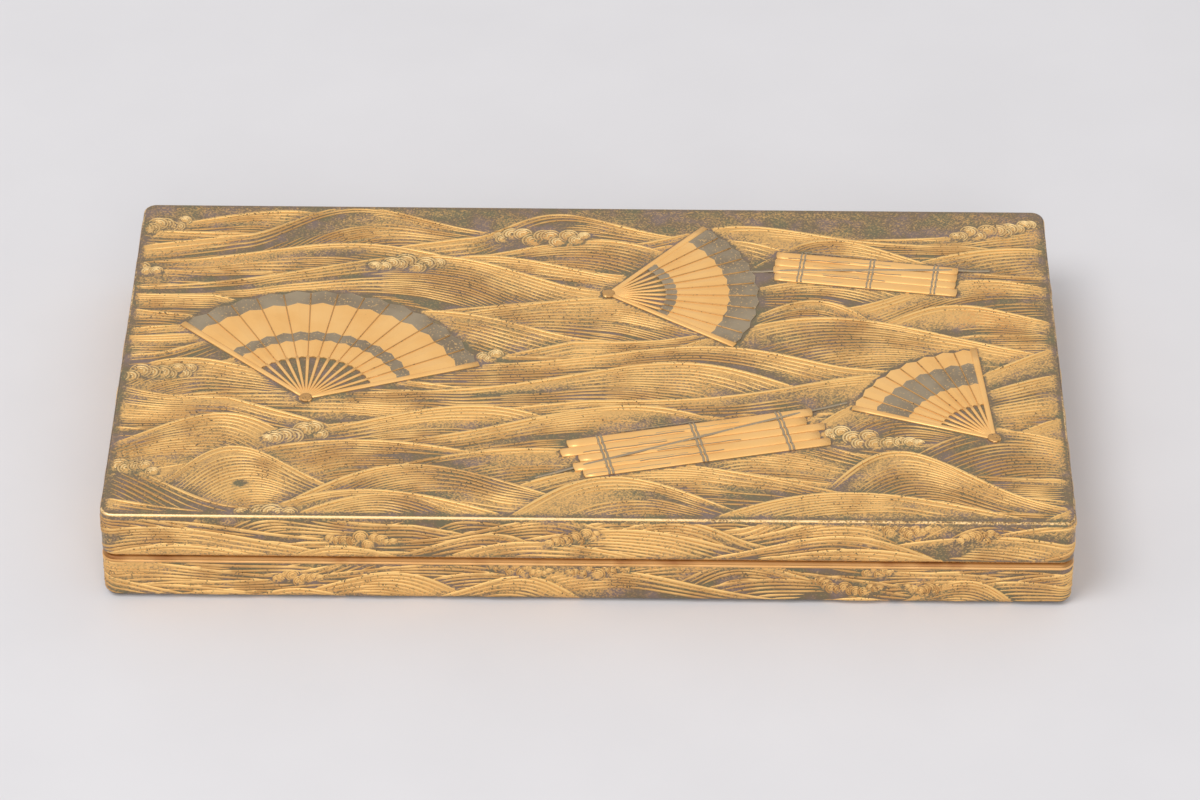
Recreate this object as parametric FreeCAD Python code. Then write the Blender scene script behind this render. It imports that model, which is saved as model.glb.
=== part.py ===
import FreeCAD, Part
import math
import os

# A flat lacquered writing box with a lid that sits flush on its base, shut.
# Lid and base are each four mitred boards round a panel. A thin lip stands up
# inside the base and centres the lid. Inside lie a loose fitted board with an
# inkstone and a water dropper, and a loose tray with two brushes, a knife and
# an ink stick.
#
# Frame: millimetres, X along the box's length, Y from its front to its back, Z up.
# The origin is on the underside, below the middle of the box.

# Outer box
BOX_LENGTH = 220.0
BOX_DEPTH = 122.0
BASE_HEIGHT = 12.0
LID_HEIGHT = 12.0
WALL = 4.0
CORNER_RADIUS = 3.0
TOP_EDGE_RADIUS = 0.8
FOOT_EDGE_RADIUS = 2.2
FOOT_FLAT = 0.3
RIM_BEVEL = 0.8
INNER_CORNER_RADIUS = 1.0

# Panels let into the walls
TOP_PANEL = 3.0
TOP_PANEL_INSET = 2.0
BASE_PANEL = 3.0
BASE_PANEL_INSET = 2.5
PANEL_CORNER_RADIUS = 1.0

# Lip that stands up inside the base
LIP_THICKNESS = 1.8
LIP_RISE = 5.0
LIP_EDGE_RADIUS = 0.6
LID_CLEARANCE = 0.25

# Loose fittings in the base
FITTING_CLEARANCE = 0.3
TRAY_HEIGHT = 10.0
TRAY_FLOOR = 1.8
TRAY_WALL = 1.8
TRAY_EDGE_RADIUS = 0.5
GRIP_DIP_WIDTH = 20.0
GRIP_DIP_DEPTH = 3.0

# Notched rests that keep the brushes and the knife from rolling
REST_THICKNESS = 5.0
REST_HEIGHT = 3.4
REST_GAP = 0.3
FIRST_REST_AT = 20.0
SECOND_REST_OVERHANG = 10.0

# How the tools lie in the tray: the gap beside each, below each and past their ends
LANE_GAP = 2.0
UNDER_TOOL_GAP = 0.7
TOOL_START = 4.0

# Large brush
LARGE_SHAFT_RADIUS = 4.4
LARGE_SHAFT_LENGTH = 120.0
LARGE_TUFT_LENGTH = 25.0
LARGE_TUFT_RADIUS = 2.6

# Small brush
SMALL_SHAFT_RADIUS = 3.4
SMALL_SHAFT_LENGTH = 112.0
SMALL_TUFT_LENGTH = 20.0
SMALL_TUFT_RADIUS = 1.8

# What both brushes share
SPIGOT_STEP = 1.0
SPIGOT_LENGTH = 9.0
CAP_CLEARANCE = 0.1
CAP_END = 2.0
TIP_CLEARANCE = 1.5
BUTT_ROUND = 1.6
BUTT_GROOVE_AT = 9.0
BUTT_GROOVE_WIDTH = 0.8
BUTT_GROOVE_DEPTH = 0.35
TUFT_SOCKET = 4.0
TUFT_CLEARANCE = 0.05
TUFT_TIP_RADIUS = 0.2
TUFT_BELLY_AT = 0.5
TUFT_BELLY_SWELL = 0.8

# Paper knife
KNIFE_HANDLE_WIDTH = 8.0
KNIFE_HANDLE_THICKNESS = 4.6
KNIFE_HANDLE_ROUND = 1.6
COLLAR_LENGTH = 5.0
COLLAR_STEP = 0.4
BLADE_REACH = 38.0
BLADE_WIDTH = 6.4
BLADE_THICKNESS = 1.2
BLADE_SKEW = 9.0
BLADE_BEVEL = 2.4
TANG_LENGTH = 14.0
KNIFE_TO_INK = 15.0

# Ink stick
INK_LENGTH = 58.0
INK_WIDTH = 11.0
INK_HEIGHT = 7.5
INK_EDGE_RADIUS = 0.9
INK_WORN_LENGTH = 5.0
INK_WORN_DROP = 2.2

# Fitted board that the inkstone and the dropper stand in
BOARD_THICKNESS = 3.5
BOARD_EDGE_RADIUS = 0.5
BOARD_BORDER = 5.2
SEAT_CLEARANCE = 0.4
FINGER_NOTCH_RADIUS = 9.0

# Inkstone
STONE_HEIGHT = 12.0
STONE_CORNER_RADIUS = 3.0
STONE_EDGE_RADIUS = 0.8
STONE_FROM_END = 15.0
STONE_TO_DROPPER = 22.0
STONE_RIM = 5.0
WELL_CORNER_RADIUS = 9.0
LAND_DROP = 1.6
SEA_DROP = 7.0
SEA_LENGTH = 22.0
SLOPE_LENGTH = 26.0

# Water dropper, a hollow five-petalled vessel
PETAL_COUNT = 5
PETAL_RING_RADIUS = 11.0
PETAL_RADIUS = 9.5
DROPPER_HEIGHT = 11.0
DROPPER_SHOULDER = 4.0
DROPPER_SHOULDER_INSET = 3.2
DROPPER_WALL = 0.9
DROPPER_SEAT_DROP = 1.5
DROPPER_FROM_END = 14.0
DROPPER_BOSS_RADIUS = 3.4
DROPPER_BOSS_RISE = 0.8
DROPPER_HOLE_RADIUS = 1.1
PLATE_THICKNESS = 1.0
PLATE_CLEARANCE = 0.05

# Construction allowances
MITRE_REACH = 10.0
CUT_MARGIN = 1.0
SHOULDER_STEPS = 4
LEVEL_TOLERANCE = 1e-6

# Levels and inner sizes that follow from the sizes above
SEAM = BASE_HEIGHT
TOP = BASE_HEIGHT + LID_HEIGHT
FLOOR = BASE_PANEL
LIP_TOP = SEAM + LIP_RISE
LID_UNDERSIDE = TOP - TOP_PANEL
LID_WALL = WALL - LID_CLEARANCE
BASE_INNER_LENGTH = BOX_LENGTH - 2 * WALL
BASE_INNER_DEPTH = BOX_DEPTH - 2 * WALL
WELL_LENGTH = BASE_INNER_LENGTH - 2 * LIP_THICKNESS
WELL_DEPTH = BASE_INNER_DEPTH - 2 * LIP_THICKNESS

TOOL_WIDTH = max(INK_WIDTH, KNIFE_HANDLE_WIDTH + 2 * COLLAR_STEP)
TRAY_INNER_DEPTH = TOOL_WIDTH + 2 * SMALL_SHAFT_RADIUS + 2 * LARGE_SHAFT_RADIUS + 4 * LANE_GAP
TRAY_DEPTH = TRAY_INNER_DEPTH + 2 * TRAY_WALL
TRAY_LENGTH = WELL_LENGTH - 2 * FITTING_CLEARANCE
TRAY_Y = -WELL_DEPTH / 2 + FITTING_CLEARANCE + TRAY_DEPTH / 2
TRAY_INSIDE = FLOOR + TRAY_FLOOR
TRAY_LEFT = -TRAY_LENGTH / 2 + TRAY_WALL
TRAY_RIGHT = TRAY_LENGTH / 2 - TRAY_WALL
TOOL_Y = TRAY_Y - TRAY_INNER_DEPTH / 2 + LANE_GAP + TOOL_WIDTH / 2
SMALL_BRUSH_Y = TOOL_Y + TOOL_WIDTH / 2 + LANE_GAP + SMALL_SHAFT_RADIUS
LARGE_BRUSH_Y = SMALL_BRUSH_Y + SMALL_SHAFT_RADIUS + LANE_GAP + LARGE_SHAFT_RADIUS
TOOLS_LEFT = TRAY_LEFT + TOOL_START
TOOLS_RIGHT = TRAY_RIGHT - TOOL_START
KNIFE_TIP = TOOLS_RIGHT - INK_LENGTH - KNIFE_TO_INK
KNIFE_HANDLE_END = KNIFE_TIP - BLADE_REACH - COLLAR_LENGTH

BOARD_LENGTH = WELL_LENGTH - 2 * FITTING_CLEARANCE
BOARD_DEPTH = WELL_DEPTH - TRAY_DEPTH - 3 * FITTING_CLEARANCE
BOARD_Y = WELL_DEPTH / 2 - FITTING_CLEARANCE - BOARD_DEPTH / 2
BOARD_TOP = FLOOR + BOARD_THICKNESS
DROPPER_REACH = PETAL_RING_RADIUS + PETAL_RADIUS
DROPPER_X = BOARD_LENGTH / 2 - DROPPER_FROM_END - DROPPER_REACH
DROPPER_FOOT = BOARD_TOP - DROPPER_SEAT_DROP
STONE_DEPTH = BOARD_DEPTH - 2 * (BOARD_BORDER + SEAT_CLEARANCE)
STONE_LEFT = -BOARD_LENGTH / 2 + STONE_FROM_END
STONE_RIGHT = DROPPER_X - DROPPER_REACH - STONE_TO_DROPPER
STONE_LENGTH = STONE_RIGHT - STONE_LEFT
STONE_X = (STONE_LEFT + STONE_RIGHT) / 2


def point(x, y, z):
    return FreeCAD.Vector(x, y, z)


def edges_at(shape, height):
    """The edges that lie flat at one height."""
    found = []
    for edge in shape.Edges:
        low = abs(edge.BoundBox.ZMin - height) < LEVEL_TOLERANCE
        high = abs(edge.BoundBox.ZMax - height) < LEVEL_TOLERANCE
        if low and high:
            found.append(edge)
    return found


def upright_edges(shape):
    return [edge for edge in shape.Edges if edge.BoundBox.ZLength > LEVEL_TOLERANCE]


def block(length, depth, bottom, top, radius=0.0, x=0.0, y=0.0):
    """A block centred on x, y with its upright corners rounded."""
    corner = point(x - length / 2, y - depth / 2, bottom)
    box = Part.makeBox(length, depth, top - bottom, corner)
    if radius > 0:
        box = box.makeFillet(radius, upright_edges(box))
    return box


def prism(points, rise):
    """A solid between a flat outline and the same outline moved by rise."""
    outline = Part.makePolygon(points + points[:1])
    return Part.Face(outline).extrude(rise)


def one_solid(shape):
    """The shape's only solid, with its faces merged where they are one surface."""
    solids = shape.removeSplitter().Solids
    assert len(solids) == 1, "expected one solid"
    return solids[0]


def mitred_walls(frame, length, depth, y=0.0):
    """Cuts a four-sided frame at 45 degrees through its corners, into its four boards."""
    bottom = frame.BoundBox.ZMin - CUT_MARGIN
    rise = point(0, 0, frame.BoundBox.ZLength + 2 * CUT_MARGIN)
    outer_x = length / 2 + CUT_MARGIN
    outer_y = depth / 2 + CUT_MARGIN
    inner_x = length / 2 - MITRE_REACH
    inner_y = depth / 2 - MITRE_REACH
    walls = {}
    for name, side in (("front", -1), ("back", 1)):
        corners = [
            point(-outer_x, y + side * outer_y, bottom),
            point(outer_x, y + side * outer_y, bottom),
            point(inner_x, y + side * inner_y, bottom),
            point(-inner_x, y + side * inner_y, bottom),
        ]
        walls[name] = one_solid(frame.common(prism(corners, rise)))
    for name, side in (("left", -1), ("right", 1)):
        corners = [
            point(side * outer_x, y - outer_y, bottom),
            point(side * outer_x, y + outer_y, bottom),
            point(side * inner_x, y + inner_y, bottom),
            point(side * inner_x, y - inner_y, bottom),
        ]
        walls[name] = one_solid(frame.common(prism(corners, rise)))
    return walls


def lid():
    """Four walls with a bevelled lower rim, and the panel let into them from above."""
    outer = block(BOX_LENGTH, BOX_DEPTH, SEAM, TOP, CORNER_RADIUS)
    outer = outer.makeFillet(TOP_EDGE_RADIUS, edges_at(outer, TOP))
    outer = outer.makeChamfer(RIM_BEVEL, edges_at(outer, SEAM))
    hollow = block(
        BOX_LENGTH - 2 * LID_WALL,
        BOX_DEPTH - 2 * LID_WALL,
        SEAM,
        LID_UNDERSIDE,
        INNER_CORNER_RADIUS,
    )
    panel = block(
        BOX_LENGTH - 2 * TOP_PANEL_INSET,
        BOX_DEPTH - 2 * TOP_PANEL_INSET,
        LID_UNDERSIDE,
        TOP,
        PANEL_CORNER_RADIUS,
    )
    frame = outer.cut(hollow).cut(panel)
    parts = {"lid_top_panel": panel}
    for side, wall in mitred_walls(frame, BOX_LENGTH, BOX_DEPTH).items():
        parts["lid_" + side + "_wall"] = wall
    return parts


def base():
    """Four walls with a rounded foot and a bevelled upper rim, and the panel in their foot."""
    outer = block(BOX_LENGTH, BOX_DEPTH, 0, SEAM, CORNER_RADIUS)
    foot_radius = min(FOOT_EDGE_RADIUS, BASE_PANEL_INSET - FOOT_FLAT)
    outer = outer.makeFillet(foot_radius, edges_at(outer, 0))
    outer = outer.makeChamfer(RIM_BEVEL, edges_at(outer, SEAM))
    hollow = block(BASE_INNER_LENGTH, BASE_INNER_DEPTH, FLOOR, SEAM, INNER_CORNER_RADIUS)
    panel = block(
        BOX_LENGTH - 2 * BASE_PANEL_INSET,
        BOX_DEPTH - 2 * BASE_PANEL_INSET,
        0,
        FLOOR,
        PANEL_CORNER_RADIUS,
    )
    frame = outer.cut(hollow).cut(panel)
    parts = {"base_panel": panel}
    for side, wall in mitred_walls(frame, BOX_LENGTH, BOX_DEPTH).items():
        parts["base_" + side + "_wall"] = wall
    return parts


def lip():
    """Four thin strips glued round the inside of the base, with a rounded top edge."""
    outer = block(BASE_INNER_LENGTH, BASE_INNER_DEPTH, FLOOR, LIP_TOP, INNER_CORNER_RADIUS)
    inner = block(WELL_LENGTH, WELL_DEPTH, FLOOR, LIP_TOP)
    frame = outer.cut(inner)
    frame = frame.makeFillet(LIP_EDGE_RADIUS, edges_at(frame, LIP_TOP))
    strips = mitred_walls(frame, BASE_INNER_LENGTH, BASE_INNER_DEPTH)
    return {"lip_" + side: strip for side, strip in strips.items()}


def tray():
    """A shallow tray: floor, four mitred walls dipped at the ends for the fingers, two rests."""
    wall_top = FLOOR + TRAY_HEIGHT
    floor = block(TRAY_LENGTH, TRAY_DEPTH, FLOOR, TRAY_INSIDE, INNER_CORNER_RADIUS, y=TRAY_Y)
    outer = block(TRAY_LENGTH, TRAY_DEPTH, TRAY_INSIDE, wall_top, INNER_CORNER_RADIUS, y=TRAY_Y)
    inner = block(TRAY_RIGHT - TRAY_LEFT, TRAY_INNER_DEPTH, TRAY_INSIDE, wall_top, y=TRAY_Y)
    frame = outer.cut(inner)
    frame = frame.makeFillet(TRAY_EDGE_RADIUS, edges_at(frame, wall_top))
    parts = {"tray_floor": floor}
    dip_radius = (GRIP_DIP_WIDTH**2 / 4 + GRIP_DIP_DEPTH**2) / (2 * GRIP_DIP_DEPTH)
    dip_centre = point(-TRAY_LENGTH / 2, TRAY_Y, wall_top - GRIP_DIP_DEPTH + dip_radius)
    dip = Part.makeCylinder(dip_radius, TRAY_LENGTH, dip_centre, point(1, 0, 0))
    for side, wall in mitred_walls(frame, TRAY_LENGTH, TRAY_DEPTH, TRAY_Y).items():
        if side in ("left", "right"):
            wall = one_solid(wall.cut(dip))
        parts["tray_" + side + "_wall"] = wall
    parts["first_rest"] = rest(TRAY_LEFT + FIRST_REST_AT)
    parts["second_rest"] = rest(KNIFE_HANDLE_END - SECOND_REST_OVERHANG)
    return parts


def rest(x):
    """A bar across the tray with a round notch under each brush and a flat one for the knife."""
    top = TRAY_INSIDE + REST_HEIGHT
    bar = block(REST_THICKNESS, TRAY_INNER_DEPTH, TRAY_INSIDE, top, x=x, y=TRAY_Y)
    start = x - REST_THICKNESS
    for lane, radius in (
        (LARGE_BRUSH_Y, LARGE_SHAFT_RADIUS),
        (SMALL_BRUSH_Y, SMALL_SHAFT_RADIUS),
    ):
        axis = point(start, lane, brush_height(radius))
        notch = Part.makeCylinder(radius + REST_GAP, 2 * REST_THICKNESS, axis, point(1, 0, 0))
        bar = bar.cut(notch)
    knife_notch = block(
        2 * REST_THICKNESS,
        KNIFE_HANDLE_WIDTH + 2 * REST_GAP,
        knife_height() - KNIFE_HANDLE_THICKNESS / 2 - REST_GAP,
        top + CUT_MARGIN,
        x=x,
        y=TOOL_Y,
    )
    return one_solid(bar.cut(knife_notch))


def brush_height(radius):
    return TRAY_INSIDE + UNDER_TOOL_GAP + radius


def knife_height():
    collar_half = KNIFE_HANDLE_THICKNESS / 2 + COLLAR_STEP
    return TRAY_INSIDE + UNDER_TOOL_GAP + collar_half


def turned(edges, y, z):
    """Turns a closed half profile, drawn as distance along X and radius along Z, about its axis."""
    face = Part.Face(Part.Wire(Part.__sortEdges__(edges)))
    solid = face.revolve(point(0, 0, 0), point(1, 0, 0), 360)
    solid.translate(point(0, y, z))
    return solid


def line(start, end):
    return Part.LineSegment(point(start[0], 0, start[1]), point(end[0], 0, end[1])).toShape()


def lines(corners):
    return [line(start, end) for start, end in zip(corners, corners[1:])]


def quarter_round(start, end, centre):
    """An arc from start to end whose middle lies on the circle about centre."""
    radius = math.dist(start, centre)
    middle = ((start[0] + end[0]) / 2, (start[1] + end[1]) / 2)
    share = radius / math.dist(middle, centre)
    bulge = [c + (m - c) * share for m, c in zip(middle, centre)]
    stops = [point(x, 0, z) for x, z in (start, bulge, end)]
    return Part.Arc(*stops).toShape()


def brush(name, y, radius, shaft_length, tuft_length, tuft_radius):
    """A writing brush lying along X: shaft with a spigot, tuft in its socket, and the cap on it."""
    z = brush_height(radius)
    butt = TOOLS_LEFT
    shaft_end = butt + shaft_length
    shoulder = shaft_end - SPIGOT_LENGTH
    spigot = radius - SPIGOT_STEP
    socket = tuft_radius + TUFT_CLEARANCE
    groove = radius - BUTT_GROOVE_DEPTH
    groove_start = butt + BUTT_GROOVE_AT
    groove_end = groove_start + BUTT_GROOVE_WIDTH
    round_start = (butt, radius - BUTT_ROUND)
    round_end = (butt + BUTT_ROUND, radius)
    shaft = [quarter_round(round_start, round_end, (butt + BUTT_ROUND, radius - BUTT_ROUND))]
    shaft += lines(
        [
            round_end,
            (groove_start, radius),
            (groove_start, groove),
            (groove_end, groove),
            (groove_end, radius),
            (shoulder, radius),
            (shoulder, spigot),
            (shaft_end, spigot),
            (shaft_end, socket),
            (shaft_end - TUFT_SOCKET, socket),
            (shaft_end - TUFT_SOCKET, 0),
            (butt, 0),
            round_start,
        ]
    )

    root = shaft_end - TUFT_SOCKET
    tip = shaft_end + tuft_length
    belly = Part.Arc(
        point(shaft_end, 0, tuft_radius),
        point(shaft_end + tuft_length * TUFT_BELLY_AT, 0, tuft_radius * TUFT_BELLY_SWELL),
        point(tip, 0, TUFT_TIP_RADIUS),
    )
    tuft = [belly.toShape()]
    tuft += lines([(tip, TUFT_TIP_RADIUS), (tip, 0), (root, 0), (root, tuft_radius)])
    tuft += lines([(root, tuft_radius), (shaft_end, tuft_radius)])

    bore = spigot + CAP_CLEARANCE
    bore_end = tip + TIP_CLEARANCE
    cap_end = bore_end + CAP_END
    cap_round = (cap_end, radius - BUTT_ROUND)
    cap_side = (cap_end - BUTT_ROUND, radius)
    cap = [quarter_round(cap_side, cap_round, (cap_end - BUTT_ROUND, radius - BUTT_ROUND))]
    cap += lines(
        [
            cap_round,
            (cap_end, 0),
            (bore_end, 0),
            (bore_end, bore),
            (shoulder, bore),
            (shoulder, radius),
            cap_side,
        ]
    )
    return {
        name + "_shaft": turned(shaft, y, z),
        name + "_tuft": turned(tuft, y, z),
        name + "_cap": turned(cap, y, z),
    }


def knife():
    """A paper knife lying flat: handle, collar at its mouth, and a blade with a skewed point."""
    y = TOOL_Y
    z = knife_height()
    half = KNIFE_HANDLE_THICKNESS / 2
    handle = block(
        KNIFE_HANDLE_END - TOOLS_LEFT,
        KNIFE_HANDLE_WIDTH,
        z - half,
        z + half,
        x=(TOOLS_LEFT + KNIFE_HANDLE_END) / 2,
        y=y,
    )
    along = [edge for edge in handle.Edges if edge.BoundBox.XLength > LEVEL_TOLERANCE]
    handle = handle.makeFillet(KNIFE_HANDLE_ROUND, along)
    collar = block(
        COLLAR_LENGTH,
        KNIFE_HANDLE_WIDTH + 2 * COLLAR_STEP,
        z - half - COLLAR_STEP,
        z + half + COLLAR_STEP,
        x=KNIFE_HANDLE_END + COLLAR_LENGTH / 2,
        y=y,
    )
    along = [edge for edge in collar.Edges if edge.BoundBox.XLength > LEVEL_TOLERANCE]
    collar = collar.makeFillet(KNIFE_HANDLE_ROUND, along)
    tip = KNIFE_TIP
    heel = KNIFE_HANDLE_END - TANG_LENGTH
    low = y - BLADE_WIDTH / 2
    high = y + BLADE_WIDTH / 2
    bottom = z - BLADE_THICKNESS / 2
    outline = [
        point(heel, low, bottom),
        point(tip, low, bottom),
        point(tip - BLADE_SKEW, high, bottom),
        point(heel, high, bottom),
    ]
    blade = prism(outline, point(0, 0, BLADE_THICKNESS))
    handle = one_solid(handle.cut(blade))
    collar = one_solid(collar.cut(blade))
    skew = math.atan2(BLADE_SKEW, BLADE_WIDTH)
    bevel_back = BLADE_BEVEL / math.cos(skew)
    edge_top = bottom + BLADE_THICKNESS
    bevel = prism(
        [
            point(tip, low, bottom),
            point(tip + CUT_MARGIN, low, bottom),
            point(tip + CUT_MARGIN, low, edge_top + CUT_MARGIN),
            point(tip - bevel_back * 2, low, edge_top + CUT_MARGIN),
            point(tip - bevel_back, low, edge_top),
        ],
        point(-BLADE_SKEW, BLADE_WIDTH, 0),
    )
    return {
        "knife_handle": handle,
        "knife_collar": collar,
        "knife_blade": one_solid(blade.cut(bevel)),
    }


def ink_stick():
    """A pressed stick of ink with rounded edges, worn down on one end by grinding."""
    x = TOOLS_RIGHT - INK_LENGTH / 2
    y = TOOL_Y
    top = TRAY_INSIDE + INK_HEIGHT
    stick = block(INK_LENGTH, INK_WIDTH, TRAY_INSIDE, top, x=x, y=y)
    stick = stick.makeFillet(INK_EDGE_RADIUS, stick.Edges)
    worn_end = x + INK_LENGTH / 2
    worn = prism(
        [
            point(worn_end - INK_WORN_LENGTH, y - INK_WIDTH, top),
            point(worn_end, y - INK_WIDTH, top - INK_WORN_DROP),
            point(worn_end + CUT_MARGIN, y - INK_WIDTH, top - INK_WORN_DROP),
            point(worn_end + CUT_MARGIN, y - INK_WIDTH, top + CUT_MARGIN),
            point(worn_end - INK_WORN_LENGTH, y - INK_WIDTH, top + CUT_MARGIN),
        ],
        point(0, 2 * INK_WIDTH, 0),
    )
    return {"ink_stick": one_solid(stick.cut(worn))}


def fitted_board():
    """The loose board: an opening for the inkstone, a round seat for the dropper, finger notches."""
    board = block(BOARD_LENGTH, BOARD_DEPTH, FLOOR, BOARD_TOP, INNER_CORNER_RADIUS, y=BOARD_Y)
    board = board.makeFillet(BOARD_EDGE_RADIUS, edges_at(board, BOARD_TOP))
    opening = block(
        STONE_LENGTH + 2 * SEAT_CLEARANCE,
        STONE_DEPTH + 2 * SEAT_CLEARANCE,
        FLOOR,
        BOARD_TOP,
        STONE_CORNER_RADIUS + SEAT_CLEARANCE,
        x=STONE_X,
        y=BOARD_Y,
    )
    seat_radius = DROPPER_REACH + SEAT_CLEARANCE
    seat = Part.makeCylinder(seat_radius, BOARD_THICKNESS, point(DROPPER_X, BOARD_Y, DROPPER_FOOT))
    board = board.cut(opening).cut(seat)
    for side in (-1, 1):
        centre = point(side * BOARD_LENGTH / 2, BOARD_Y, FLOOR)
        board = board.cut(Part.makeCylinder(FINGER_NOTCH_RADIUS, BOARD_THICKNESS, centre))
    return {"fitted_board": one_solid(board)}


def inkstone():
    """A slate block with a rimmed well: a deep sea at the left, a slope, and a shallow land."""
    top = FLOOR + STONE_HEIGHT
    stone = block(
        STONE_LENGTH, STONE_DEPTH, FLOOR, top, STONE_CORNER_RADIUS, x=STONE_X, y=BOARD_Y
    )
    stone = stone.makeFillet(STONE_EDGE_RADIUS, edges_at(stone, top))
    well = block(
        STONE_LENGTH - 2 * STONE_RIM,
        STONE_DEPTH - 2 * STONE_RIM,
        FLOOR,
        top + CUT_MARGIN,
        WELL_CORNER_RADIUS,
        x=STONE_X,
        y=BOARD_Y,
    )
    slope_start = STONE_LEFT + STONE_RIM + SEA_LENGTH
    slope_end = slope_start + SLOPE_LENGTH
    sea = top - SEA_DROP
    land = top - LAND_DROP
    front = BOARD_Y - STONE_DEPTH
    slope = Part.BezierCurve()
    slope.setPoles(
        [
            point(slope_start, front, sea),
            point(slope_start + SLOPE_LENGTH / 2, front, sea),
            point(slope_start + SLOPE_LENGTH / 2, front, land),
            point(slope_end, front, land),
        ]
    )
    corners = [
        point(slope_end, front, land),
        point(STONE_RIGHT, front, land),
        point(STONE_RIGHT, front, top + 2 * CUT_MARGIN),
        point(STONE_LEFT, front, top + 2 * CUT_MARGIN),
        point(STONE_LEFT, front, sea),
        point(slope_start, front, sea),
    ]
    edges = [slope.toShape()]
    for start, end in zip(corners, corners[1:]):
        edges.append(Part.LineSegment(start, end).toShape())
    section = Part.Face(Part.Wire(Part.__sortEdges__(edges)))
    hollow = section.extrude(point(0, 2 * STONE_DEPTH, 0))
    return {"inkstone": one_solid(stone.cut(well.common(hollow)))}


def petal_wire(height, share=1.0, inset=0.0):
    """Five arcs that meet in cusps: the dropper's plan, scaled by share and then drawn in."""
    half_turn = math.pi / PETAL_COUNT
    ring = PETAL_RING_RADIUS * share
    radius = PETAL_RADIUS * share - inset
    across = ring * math.sin(half_turn)
    cusp = ring * math.cos(half_turn) + math.sqrt(radius**2 - across**2)
    arcs = []
    for number in range(PETAL_COUNT):
        middle = 2 * half_turn * number
        stops = [
            (middle - half_turn, cusp),
            (middle, ring + radius),
            (middle + half_turn, cusp),
        ]
        places = [
            point(DROPPER_X + r * math.cos(turn), BOARD_Y + r * math.sin(turn), height)
            for turn, r in stops
        ]
        arcs.append(Part.Arc(*places).toShape())
    return Part.Wire(arcs)


def petal_solid(foot, top, inset=0.0):
    """Petalled sides that stand straight and then round inward to a flat top."""
    wires = [petal_wire(foot, inset=inset)]
    for step in range(SHOULDER_STEPS + 1):
        turn = math.pi / 2 * step / SHOULDER_STEPS
        share = 1 - DROPPER_SHOULDER_INSET / DROPPER_REACH * (1 - math.cos(turn))
        height = top - DROPPER_SHOULDER * (1 - math.sin(turn))
        wires.append(petal_wire(height, share, inset))
    return Part.makeLoft(wires, True, True)


def dropper():
    """A thin petalled shell with an air hole in its boss and a spout hole in one petal."""
    foot = DROPPER_FOOT
    top = foot + DROPPER_HEIGHT
    boss_foot = point(DROPPER_X, BOARD_Y, top - DROPPER_WALL)
    boss = Part.makeCylinder(DROPPER_BOSS_RADIUS, DROPPER_WALL + DROPPER_BOSS_RISE, boss_foot)
    hollow = petal_solid(foot, top - DROPPER_WALL, DROPPER_WALL)
    shell = petal_solid(foot, top).fuse(boss).cut(hollow)
    spout = point(DROPPER_X + PETAL_RING_RADIUS, BOARD_Y, foot)
    for centre in (point(DROPPER_X, BOARD_Y, foot), spout):
        shell = shell.cut(Part.makeCylinder(DROPPER_HOLE_RADIUS, 2 * DROPPER_HEIGHT, centre))
    plate_wire = petal_wire(foot, inset=DROPPER_WALL + PLATE_CLEARANCE)
    plate = Part.Face(plate_wire).extrude(point(0, 0, PLATE_THICKNESS))
    return {"dropper_shell": one_solid(shell), "dropper_plate": plate}


def make_parts():
    parts = {}
    parts.update(lid())
    parts.update(base())
    parts.update(lip())
    parts.update(tray())
    parts.update(
        brush(
            "large_brush",
            LARGE_BRUSH_Y,
            LARGE_SHAFT_RADIUS,
            LARGE_SHAFT_LENGTH,
            LARGE_TUFT_LENGTH,
            LARGE_TUFT_RADIUS,
        )
    )
    parts.update(
        brush(
            "small_brush",
            SMALL_BRUSH_Y,
            SMALL_SHAFT_RADIUS,
            SMALL_SHAFT_LENGTH,
            SMALL_TUFT_LENGTH,
            SMALL_TUFT_RADIUS,
        )
    )
    parts.update(knife())
    parts.update(ink_stick())
    parts.update(fitted_board())
    parts.update(inkstone())
    parts.update(dropper())
    return parts


os.makedirs("parts", exist_ok=True)
for node, shape in make_parts().items():
    assert shape.isValid(), node + " is not a valid solid"
    shape.exportStep("parts/" + node + ".step")
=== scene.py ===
import math
from dataclasses import dataclass
from functools import lru_cache

import bmesh
import bpy
import numpy as np
from mathutils import Matrix, Vector


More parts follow.
